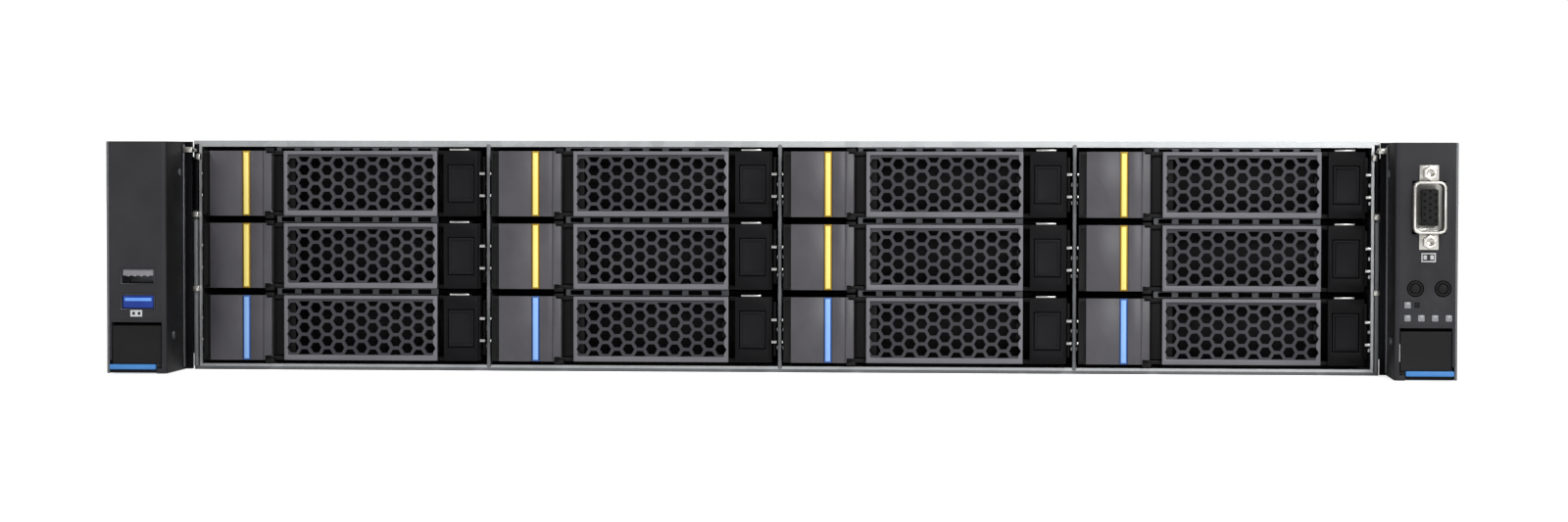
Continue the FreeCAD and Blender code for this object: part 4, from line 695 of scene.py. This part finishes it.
# %% Ear housings
EAR_IN, EAR_WIDE = 219.3, 22.0
EAR_Y, EAR_DEEP = -393.5, 30.0
EAR_LOW, EAR_HIGH = 0.4, 84.2
SIDES = {"left": -1, "right": 1}


def ear_brick(name, side, across, along, up):
    """A brick on an ear: across counts out from its inner face, along back from its front."""
    ends = sorted(side * (EAR_IN + place) for place in across)
    return brick(name, (ends[0], EAR_Y + along[0], up[0]), (ends[1], EAR_Y + along[1], up[1]))


def ear_bar(name, side, out, along, up, radius, sides=24):
    middle = (side * (EAR_IN + out), EAR_Y + (along[0] + along[1]) / 2, up)
    return bar(name, middle, radius, along[1] - along[0], "Y", sides)


def model_ear(side, name, holes):
    shell = ear_brick(name, side, (0, 21.0), (0, EAR_DEEP), (EAR_LOW, EAR_HIGH))
    pick(shell, long_edges(shell, "Z", 20, lambda middle: middle.y < (EAR_Y + 1) * MM
                           and abs(middle.x) < (EAR_IN + 1) * MM), "EDGE")
    bpy.ops.mesh.bevel(offset=1.7 * MM, segments=3)
    back_to_object()
    room = ear_brick("room", side, (1.8, 19.4), (1.8, 31), (20.7, 82.4))
    latch_room = ear_brick("latch room", side, (1.8, 20.2), (-1, 31), (2.2, 18.9))
    lip_notch = ear_brick("lip notch", side, (3.7, 23), (-1, 3.4), (-1, 5.2))
    carve(shell, room, latch_room, lip_notch, *holes)
    finish_edges(shell, 0.35)
    sill = ear_brick("sill", side, (2.2, 19.8), (-0.25, 0.6), (18.9, 19.7))
    curtain = ear_brick("curtain", side, (1.7, 20.3), (8.0, 9.0), (15.5, 19.5))
    return join(shell, finish_edges(sill, 0.2), curtain)


def paint_shade_on_inner_side(piece, side):
    """Painted shade: the side that looks at the drive bays is painted black, as it lies in shadow."""
    piece.data.materials.append(black_abs_and_shade)
    for face in piece.data.polygons:
        if face.normal.x * side < -0.8 and abs(face.center.x) < (EAR_IN + 0.4) * MM:
            face.material_index = 1


print("ear helpers ready")

# %% [markdown]
# Each hole in a housing is a little wider than the socket, lens or button that it takes, and
# shares its middle.

# %% Holes in the ears
USB_OUT, USB_SOCKETS = 10.5, {"upper": 35.4, "lower": 26.2}
VIDEO_OUT, VIDEO_UP = 11.7, 61.4
BUTTON_UP, BUTTONS_OUT = 32.8, {"power_button": 7.2, "id_button": 16.8}
lens_places = [(4.5, 27.0)] + [(4.5 + 4.8 * step, 22.4) for step in range(4)]
usb_holes = [ear_brick("hole", -1, (USB_OUT - 6.4, USB_OUT + 6.4), (-1, 3), (up - 3.0, up + 3.0))
             for up in USB_SOCKETS.values()]
left_shell = model_ear(-1, "left_ear_shell", usb_holes)
video_hole = ear_brick("hole", 1, (VIDEO_OUT - 5.85, VIDEO_OUT + 5.85), (-1, 3),
                       (VIDEO_UP - 9.35, VIDEO_UP + 9.35))
round_holes = [ear_bar("hole", 1, out, (-1, 3), BUTTON_UP, 2.95, 32) for out in BUTTONS_OUT.values()]
lens_holes = [ear_brick("hole", 1, (out - 1.25, out + 1.25), (-1, 3), (up - 1.25, up + 1.25))
              for out, up in lens_places]
dark_lens_hole = ear_brick("hole", 1, (6.9, 8.6), (-1, 0.5), (26.1, 27.9))
right_shell = model_ear(1, "right_ear_shell", [video_hole, *round_holes, *lens_holes, dark_lens_hole])
for shell, side, node in ((left_shell, -1, "left_ear"), (right_shell, 1, "right_ear")):
    paint(shell, ear_abs)
    paint_shade_on_inner_side(shell, side)
    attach(shell, "chassis")
    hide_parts(node)
print("ear faces:", len(left_shell.data.polygons), len(right_shell.data.polygons))

# %% [markdown]
# Behind each housing stands the rack flange, with its two round holes and the window for the
# latch hook, and the side plate that is screwed to the chassis. A thin rib and two screws
# show on the side of the ear that looks at the bays.

# %% Ear brackets
RACK_IN, RACK_OUT, RACK_HOLE = 217.0, 241.3, 232.55
edge_steel = zinc_sheet("Painted steel edge", "#6b6c6e", "#7d7e80", 0.5)


def model_bracket(side, name):
    ends = sorted((side * RACK_IN, side * RACK_OUT))
    flange = brick(name, (ends[0], EAR_Y + 30, EAR_LOW), (ends[1], EAR_Y + 32, EAR_HIGH))
    holes = [bar("hole", (side * RACK_HOLE, EAR_Y + 31, up), 3.4, 6, "Y", 32) for up in (4.2, 80.4)]
    hook_window = ear_brick("hook window", side, (3.4, 9.6), (28, 34), (5.2, 18.0))
    carve(flange, *holes, hook_window)
    ends = sorted((side * RACK_IN, side * 219.0))
    plate = brick("plate", (ends[0], EAR_Y + 31.5, 6), (ends[1], EAR_Y + 100, 78.6))
    carve(flange, plate, way="UNION")
    finish_edges(flange, 0.3)
    screws = []
    for along in (50, 85):
        for up in (18, 66):
            head = bar("screw", (side * 219.5, EAR_Y + along, up), 3.0, 1.4, "X", 24)
            socket = bar("socket", (side * 220.2, EAR_Y + along, up), 1.2, 1.6, "X", 6)
            carve(head, socket)
            screws.append(finish_edges(head, 0.3))
    return paint(join(flange, *screws), black_steel_and_shade)


for word, side in SIDES.items():
    bracket = model_bracket(side, word + "_ear_bracket")
    angle = ear_brick(word + "_ear_angle", side, (21.0, EAR_WIDE), (0.3, EAR_DEEP),
                      (EAR_LOW, EAR_HIGH))
    paint(finish_edges(angle, 0.3), edge_steel)
    rib = ear_brick(word + "_ear_rib", side, (-0.7, 0.2), (24.5, 26.3), (1.4, 83.2))
    paint(finish_edges(rib, 0.25), screw_steel)
    heads = [bar(word + "_ear_screws", (side * (EAR_IN - 0.3), EAR_Y + along, up), 1.5, 1.0, "X", 20)
             for along, up in ((19, 73), (9, 14))]
    screws = paint(join(*[finish_edges(head, 0.25) for head in heads]), screw_steel)
    for piece in (bracket, angle, rib, screws):
        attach(piece, "chassis")
print("brackets ready")

# %% [markdown]
# **Sockets on the left ear.** Each USB socket is a folded steel shell round a tongue. The
# upper tongue is grey, with four contact strips, and the lower, faster one is blue with a
# lighter band. The shell is drawn as a brick with its mouth cut out.

# %% Sockets and marks on the left ear


def model_usb(name, up):
    shell = ear_brick(name, -1, (USB_OUT - 6.3, USB_OUT + 6.3), (0.1, 14), (up - 2.9, up + 2.9))
    mouth = ear_brick("mouth", -1, (USB_OUT - 5.95, USB_OUT + 5.95), (-1, 12.2), (up - 2.55, up + 2.55))
    carve(shell, mouth)
    return paint(finish_edges(shell, 0.12, 1), screw_steel)


def model_tongue(name, up, low, high, material):
    tongue = ear_brick(name, -1, (USB_OUT - 5.6, USB_OUT + 5.6), (0.5, 12.4), (up + low, up + high))
    return paint(finish_edges(tongue, 0.2), material)


def model_contacts(name, up, low, count):
    strips = []
    for step in range(count):
        out = USB_OUT + (step - (count - 1) / 2) * 2.4
        strips.append(ear_brick(name, -1, (out - 0.5, out + 0.5), (0.45, 9),
                                (up + low - 0.15, up + low + 0.05)))
    return paint(join(*strips), nickel)


grey_abs = moulded_plastic("Socket tongue grey ABS", "#77757a", "#8a888c", 0.42)
pale_abs = moulded_plastic("Marking inlay ABS", "#b9b9bb", "#cdcdce", 0.45)
usb_pale_abs = moulded_plastic("Socket tongue ABS light blue", "#5f95e6", "#75a8f2", 0.38)
upper, lower = USB_SOCKETS.values()
left_pieces = [(model_usb(f"usb_{word}_shell", up), "psu_steel") for word, up in USB_SOCKETS.items()]
left_pieces += [(model_tongue("usb_upper_tongue", upper, 0.3, 2.5, grey_abs), "ear_plastic"),
                (model_contacts("usb_upper_contacts", upper, 0.3, 4), "heatsink_metal"),
                (model_tongue("usb_lower_tongue", lower, -2.2, 2.4, usb_blue_abs), "ear_plastic")]
band = ear_brick("usb_lower_band", -1, (USB_OUT - 4.9, USB_OUT + 4.9), (0.2, 3), (lower + 0.3, lower + 1.5))
left_pieces.append((paint(finish_edges(band, 0.2), usb_pale_abs), "ear_plastic"))
mark = ear_brick("left_ear_mark", -1, (8.9, 13.3), (-0.06, 0.5), (20.9, 23.3))
carve(mark, *[ear_brick("notch", -1, (out, out + 0.9), (-1, 0.2), (21.6, 22.6)) for out in (9.6, 11.6)])
left_pieces.append((paint(finish_edges(mark, 0.1, 1), pale_abs), "ear_plastic"))
for piece, slot in left_pieces:
    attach(piece, "chassis")
print("left ear pieces:", len(left_pieces))

# %% [markdown]
# **Socket on the right ear.** The VGA socket stands upright: a raised nickel shell, a dark
# block with three columns of five pin holes, and a hexagonal screw post on a small plate at
# each end. The shell is a brick with rounded corners and a smaller one cut out of it.

# %% Video socket
PIN_STEP = 2.3


def video_brick(name, half_wide, along, half_tall, up=VIDEO_UP):
    """A brick about the middle line of the socket, by its half width and half height."""
    return ear_brick(name, 1, (VIDEO_OUT - half_wide, VIDEO_OUT + half_wide), along,
                     (up - half_tall, up + half_tall))


def model_video_shell():
    shell = video_brick("video_shell", 5.7, (-4.6, 4), 9.2)
    mouth = video_brick("mouth", 4.9, (-6, 3), 8.4)
    for tube, corner in ((shell, 1.9), (mouth, 1.5)):
        pick(tube, long_edges(tube, "Y", 5), "EDGE")
        bpy.ops.mesh.bevel(offset=corner * MM, segments=2)
        back_to_object()
    return finish_edges(carve(shell, mouth), 0.15)


def model_video_block():
    block = video_brick("video_block", 3.0, (-3.4, 3.5), 6.4)
    finish_edges(block, 0.5)
    holes = []
    for column in (-1, 0, 1):
        for row in range(-2, 3):
            up = VIDEO_UP + row * PIN_STEP + (PIN_STEP / 2 if column == 0 else 0)
            holes.append(ear_bar("pin hole", 1, VIDEO_OUT + column * 1.9, (-5, -2.4), up, 0.5, 12))
    return carve(block, join(*holes))


def model_video_post(step):
    up = VIDEO_UP + step * 12.1
    plate = finish_edges(video_brick("video_plate", 3.4, (-0.5, 0.4), 2.8, up), 0.2)
    post = ear_bar("post", 1, VIDEO_OUT, (-5.0, 0.2), up, 2.65, 6)
    carve(post, ear_bar("bore", 1, VIDEO_OUT, (-6, -1), up, 1.2, 20))
    return join(plate, finish_edges(post, 0.2))


video_shell = paint(model_video_shell(), nickel)
video_shell = join(video_shell, *[paint(model_video_post(step), nickel) for step in (-1, 1)])
video_block = paint(model_video_block(), black_abs_and_shade)
right_pieces = [(video_shell, "heatsink_metal"), (video_block, "ear_plastic")]
print("video socket faces:", len(video_shell.data.polygons) + len(video_block.data.polygons))

# %% [markdown]
# Below the socket a pale mark is let into the housing, a frame round two dots. Then come five
# square light guides, one above a row of four, and a small dark lens beside the single one.

# %% Mark and lights on the right ear
mark = ear_brick("right_ear_mark", 1, (9.2, 14.2), (-0.06, 0.5), (42.2, 45.4))
carve(mark, ear_brick("field", 1, (9.6, 13.8), (-1, 0.15), (42.6, 45.0)))
dots = [ear_brick("dot", 1, (out, out + 1.2), (-0.06, 0.4), (43.1, 44.6)) for out in (9.9, 12.3)]
right_pieces.append((paint(join(mark, *dots), pale_abs), "ear_plastic"))
lens_glass = moulded_plastic("Light guide polycarbonate", "#737477", "#85868a", 0.25, grain=0.02,
                             shine=0.5)
for number, (out, up) in enumerate(lens_places, start=1):
    lens = ear_brick(f"light_{number}", 1, (out - 1.2, out + 1.2), (-0.1, 6), (up - 1.2, up + 1.2))
    right_pieces.append((paint(finish_edges(lens, 0.3), lens_glass), "ear_plastic"))
dark_lens = ear_brick("light_dark", 1, (6.95, 8.55), (0.15, 1.6), (26.15, 27.85))
right_pieces.append((paint(finish_edges(dark_lens, 0.2), black_abs_and_shade), "ear_plastic"))
for piece, slot in right_pieces:
    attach(piece, "chassis")
print("pieces set on the right ear:", len(right_pieces))

# %% [markdown]
# The power button and the identity button are round caps that slide in their holes. Three
# insets of the front face, the second pushed in and the third drawn out again, leave a rim
# with a ring groove round a raised middle.

# %% Round buttons


def model_round_button(name, out):
    cap = ear_bar(name, 1, out, (-0.2, 7.0), BUTTON_UP, 2.62, 40)
    terrace(cap, facing("Y", -1), (0.6, 0, 0), (0.25, 0.45, 0), (0.25, -0.4, 0))
    return paint(finish_edges(cap, 0.12), black_abs_and_shade)


for word, out in BUTTONS_OUT.items():
    cap = model_round_button(word + "_cap", out)
    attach(cap, word)
    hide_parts(word)
print("round buttons:", len(BUTTONS_OUT))

# %% [markdown]
# **Ear latches.** Under each housing a dark panel swings forward on a pin. Its blue lip marks
# it as something to touch. The panel is a brick with a soft front edge; the lip is extruded
# forward from a thin bar, and a hook behind holds the rack.

# %% Ear latches
LATCH_ACROSS = (2.1, 19.9)
PIN_ALONG, PIN_UP = 5.0, 16.0


def model_latch(side, name):
    panel = ear_brick(name, side, LATCH_ACROSS, (0.2, 2.4), (3.7, 17.7))
    finish_edges(terrace(panel, facing("Y", -1), (0.8, 0.15, 0)), 0.25)
    knuckle_ends = sorted(side * (EAR_IN + out) for out in LATCH_ACROSS)
    middle = (sum(knuckle_ends) / 2, EAR_Y + PIN_ALONG, PIN_UP)
    knuckle = finish_edges(bar("knuckle", middle, 2.2, 17.8, "X", 24), 0.2)
    web = finish_edges(ear_brick("web", side, LATCH_ACROSS, (1.5, 5.0), (14.2, 17.5)), 0.2)
    arm = ear_brick("arm", side, (4.0, 9.0), (5.0, 38.0), (12.0, 14.0))
    tooth = ear_brick("tooth", side, (4.0, 9.0), (35.0, 38.0), (12.0, 16.5))
    carve(arm, tooth, way="UNION")
    pin = bar("pin", middle, 1.0, 18.2, "X", 16)
    return join(panel, knuckle, web, finish_edges(arm, 0.25), pin)


def model_lip(side, name):
    lip = ear_brick(name, side, (4.0, 20.8), (0.2, 2.4), (1.9, 3.7))
    pick(lip, facing("Y", -1))
    bpy.ops.mesh.extrude_region_move(TRANSFORM_OT_translate={"value": (0, -1.0 * MM, 0)})
    back_to_object()
    return paint(finish_edges(lip, 0.3, 3), lip_abs)


for word, side in SIDES.items():
    node = word + "_ear_latch"
    panel = paint(model_latch(side, node + "_panel"), latch_abs)
    lip = model_lip(side, node + "_lip")
    for piece in (panel, lip):
        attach(piece, node)
    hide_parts(node)
print("latches ready")

# %% [markdown]
# **Edges of the chassis front.** The side walls of the chassis end in a folded edge that
# shows as a line beside the outer bays: pale by the two lower rows, black by the top one. A
# bright nub sits on it at each row boundary, and the front of the cover hooks over two bright
# tabs at each top corner.

# %% Chassis front edges


def side_brick(name, side, across, along, up):
    """A brick beside the outer bays: across counts from the middle, along from the bay face."""
    ends = sorted(side * place for place in across)
    return brick(name, (ends[0], FACE_Y + along[0], up[0]), (ends[1], FACE_Y + along[1], up[1]))


for word, side in SIDES.items():
    edge = side_brick(word + "_wall_edge", side, (215.4, 216.9), (1.6, 5.5), (1.2, 55.5))
    paint(finish_edges(edge, 0.4, 3), chassis_zinc)
    upper_edge = side_brick(word + "_wall_edge_upper", side, (215.4, 216.9), (2.6, 5.5), (58.8, 83.2))
    paint(finish_edges(upper_edge, 0.4, 3), black_steel_and_shade)
    nubs = [side_brick(word + "_wall_nubs", side, (214.9, 217.0), (0.8, 5.5), (up - 1.0, up + 1.0))
            for up in (30.0, 57.4)]
    nubs = paint(join(*[finish_edges(nub, 0.3) for nub in nubs]), nickel)
    tabs = [side_brick(word + "_cover_tabs", side, (214.2, 215.8), (0.6, 4.5), (77.6, 79.8)),
            side_brick("tab", side, (215.6, 218.9), (-6.0, -2.0), (80.2, 82.2))]
    neck = side_brick("neck", side, (215.6, 216.8), (-5.0, 4.0), (80.4, 81.6))
    tabs = paint(join(*[finish_edges(tab, 0.3) for tab in (*tabs, neck)]), nickel)
    for piece in (edge, upper_edge, nubs, tabs):
        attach(piece, "chassis")
print("chassis edges ready")

# %% [markdown]
# **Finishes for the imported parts.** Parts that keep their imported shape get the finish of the
# real material, from the same helpers. Some parts are of two materials, such as a supply
# with a steel case and a black handle; there the material itself changes at a plane.

# %% Finishes for two-material parts
MASK_GREEN, TRACE_GREEN = "#0f3d2a", "#2f6a4a"
HANDLE_START, BOARD_TOP, NO_TOP = 0.3712, 0.0093, 1.0


def beyond(tree, place, axis, level):
    """1 where the object coordinate lies past a level in metres, otherwise 0."""
    apart = add_node(tree, "ShaderNodeSeparateXYZ", Vector=place)
    past = add_node(tree, "ShaderNodeMath", {"operation": "GREATER_THAN"},
                    i0=apart.outputs[axis], i1=level)
    return past.outputs[0]


def steel_then_plastic(name, axis, level):
    """Zinc-coated steel that turns to black plastic past a plane."""
    material = zinc_sheet(name, "#9fa1a3", "#b6b8b9", 0.42)
    tree = material.node_tree
    shader = tree.nodes["Principled BSDF"]
    place = add_node(tree, "ShaderNodeTexCoord").outputs["Object"]
    past = beyond(tree, place, axis, level)
    steel = shader.inputs["Base Color"].links[0].from_socket
    colour = add_node(tree, "ShaderNodeMix", {"data_type": "RGBA"},
                      i0=past, i6=steel, i7=linear("#17171a"))
    metal = add_node(tree, "ShaderNodeMapRange", Value=past, i3=0.9, i4=0.0)
    feed(shader, Base_Color=colour.outputs[2], Metallic=metal.outputs[0])
    return material


def circuit_board(name, level):
    """Solder mask with fine copper lines below a level, and dark plastic above it."""
    material, tree, shader, place = start_material(name)
    lines = add_node(tree, "ShaderNodeTexBrick", {"offset": 0.5}, Vector=place, Scale=1000 / 9,
                     Mortar_Size=0.03, Color1=linear(MASK_GREEN), Color2=linear(MASK_GREEN),
                     Mortar=linear(TRACE_GREEN))
    noise = add_node(tree, "ShaderNodeTexNoise", Vector=place, Scale=1000 / 7, Detail=3.0)
    speck = add_node(tree, "ShaderNodeMapRange", Value=noise.outputs[0], i1=0.55, i2=0.75)
    traces = add_node(tree, "ShaderNodeMix", {"data_type": "RGBA"},
                      i0=speck.outputs[0], i6=linear(MASK_GREEN), i7=linear(TRACE_GREEN))
    both = add_node(tree, "ShaderNodeMix", {"data_type": "RGBA", "blend_type": "LIGHTEN"},
                    i0=0.6, i6=traces.outputs[2], i7=lines.outputs[0])
    colour = add_node(tree, "ShaderNodeMix", {"data_type": "RGBA"},
                      i0=beyond(tree, place, 2, level), i6=both.outputs[2], i7=linear("#1b1b1e"))
    rough = add_node(tree, "ShaderNodeMapRange", Value=noise.outputs[0], i3=0.25, i4=0.5)
    feed(shader, Base_Color=colour.outputs[2], Roughness=rough.outputs[0])
    return material


psu_finish = steel_then_plastic("Supply steel and handle", 1, HANDLE_START)
board_finish = circuit_board("Mainboard laminate", BOARD_TOP)
backplane_finish = circuit_board("Backplane laminate", NO_TOP)
print("two-material finishes: 3")

# %% [markdown]
# The rest is of one material each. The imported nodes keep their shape, so only the material in
# their first slot is changed.

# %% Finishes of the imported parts
fan_black = moulded_plastic("Fan PBT black", "#141416", "#1c1c1f", 0.5)
duct_black = moulded_plastic("Duct polycarbonate black", "#1a1a1d", "#242428", 0.42)
handle_blue = moulded_plastic("Touch point ABS cover handle", "#3f7fc4", "#5794d6", 0.4)
fin_aluminium = zinc_sheet("Extruded aluminium", "#b0b1b3", "#c2c3c5", 0.35, flake_mm=1.5)
cover_zinc = zinc_sheet("Zinc-coated cover sheet", "#b3b5b7", "#c6c8c9", 0.4, flake_mm=6.0)
KEPT = {
    "chassis_base": chassis_zinc, "drive_cage": cover_zinc, "rear_cover": cover_zinc,
    "cover_latch": handle_blue, "backplane": backplane_finish, "mainboard": board_finish,
    "heatsinks": fin_aluminium, "air_duct": duct_black, "riser_cages": cage_zinc,
    "fan_frames": fan_black, "psu_1": psu_finish, "psu_2": psu_finish,
    "psu_latch_1": lip_abs, "psu_latch_2": lip_abs,
    **{f"fan_rotor_{number}": fan_black for number in range(1, 5)},
}
for node, material in KEPT.items():
    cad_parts[node].data.materials[0] = material
print("packed parts finished:", len(KEPT))

# %% [markdown]
# **Lights.** Three soft lamps, as in a product studio. The key hangs in front, high on the
# right. A small one stands low, near the camera, and gives the bezels their gloss. A weak one
# on the left fills the shadows.

# %% Lights


def soft_light(name, place, aim, size, power):
    bpy.ops.object.select_all(action="DESELECT")
    bpy.ops.object.light_add(type="AREA", location=Vector(place) * MM)
    lamp = bpy.context.object
    lamp.name = name
    lamp.data.shape = "RECTANGLE"
    lamp.data.size, lamp.data.size_y = size[0] * MM, size[1] * MM
    lamp.data.energy = power
    towards = Vector(aim) * MM - lamp.location
    lamp.rotation_euler = towards.to_track_quat("-Z", "Y").to_euler()


soft_light("KeyLight", (650, -1100, 1300), (120, -380, 60), (900, 500), 17)
soft_light("SheenLight", (430, -1560, 330), (150, -363, 60), (250, 250), 3.6)
soft_light("FillLight", (-1300, -1300, 500), (-160, -380, 40), (700, 700), 5)
print("lamps:", len(bpy.data.lights))

# %% [markdown]
# **World and floor.** The floor is a pale sheet that keeps a soft contact shadow. To the
# camera alone the world is white and the floor is lifted towards white. The server is lit by
# a dimmer world, and its metal mirrors that dimmer one.

# %% World and floor
WORLD_LIGHT, WORLD_SEEN, FLOOR_LIFT = 0.42, 1.0, 0.75


def studio_world():
    world = bpy.data.worlds.new("Studio")
    bpy.context.scene.world = world
    world.use_nodes = True
    tree = world.node_tree
    seen = add_node(tree, "ShaderNodeLightPath")
    strength = add_node(tree, "ShaderNodeMapRange", Value=seen.outputs["Is Camera Ray"],
                        i3=WORLD_LIGHT, i4=WORLD_SEEN)
    feed(tree.nodes["Background"], Color=linear("#ffffff"), Strength=strength.outputs[0])


def floor_sheet():
    bpy.ops.object.select_all(action="DESELECT")
    bpy.ops.mesh.primitive_plane_add(size=8)
    floor = bpy.context.object
    floor.name = "StudioFloor"
    material, tree, shader, place = start_material("Studio paper")
    fibre = add_node(tree, "ShaderNodeTexNoise", Vector=place, Scale=1000 / 2, Detail=2.0)
    colour = add_node(tree, "ShaderNodeMix", {"data_type": "RGBA"},
                      i0=fibre.outputs[0], i6=linear("#f6f6f6"), i7=linear("#ffffff"))
    feed(shader, Base_Color=colour.outputs[2], Roughness=0.9)
    seen = add_node(tree, "ShaderNodeLightPath")
    lift = add_node(tree, "ShaderNodeMath", {"operation": "MULTIPLY"},
                    i0=seen.outputs["Is Camera Ray"], i1=FLOOR_LIFT)
    glow = add_node(tree, "ShaderNodeEmission", Strength=lift.outputs[0])
    both = add_node(tree, "ShaderNodeAddShader", i0=shader.outputs[0], i1=glow.outputs[0])
    feed(tree.nodes["Material Output"], Surface=both.outputs[0])
    return paint(floor, material)


studio_world()
floor_sheet()
bpy.context.scene.view_settings.view_transform = "Standard"
print("world and floor ready")
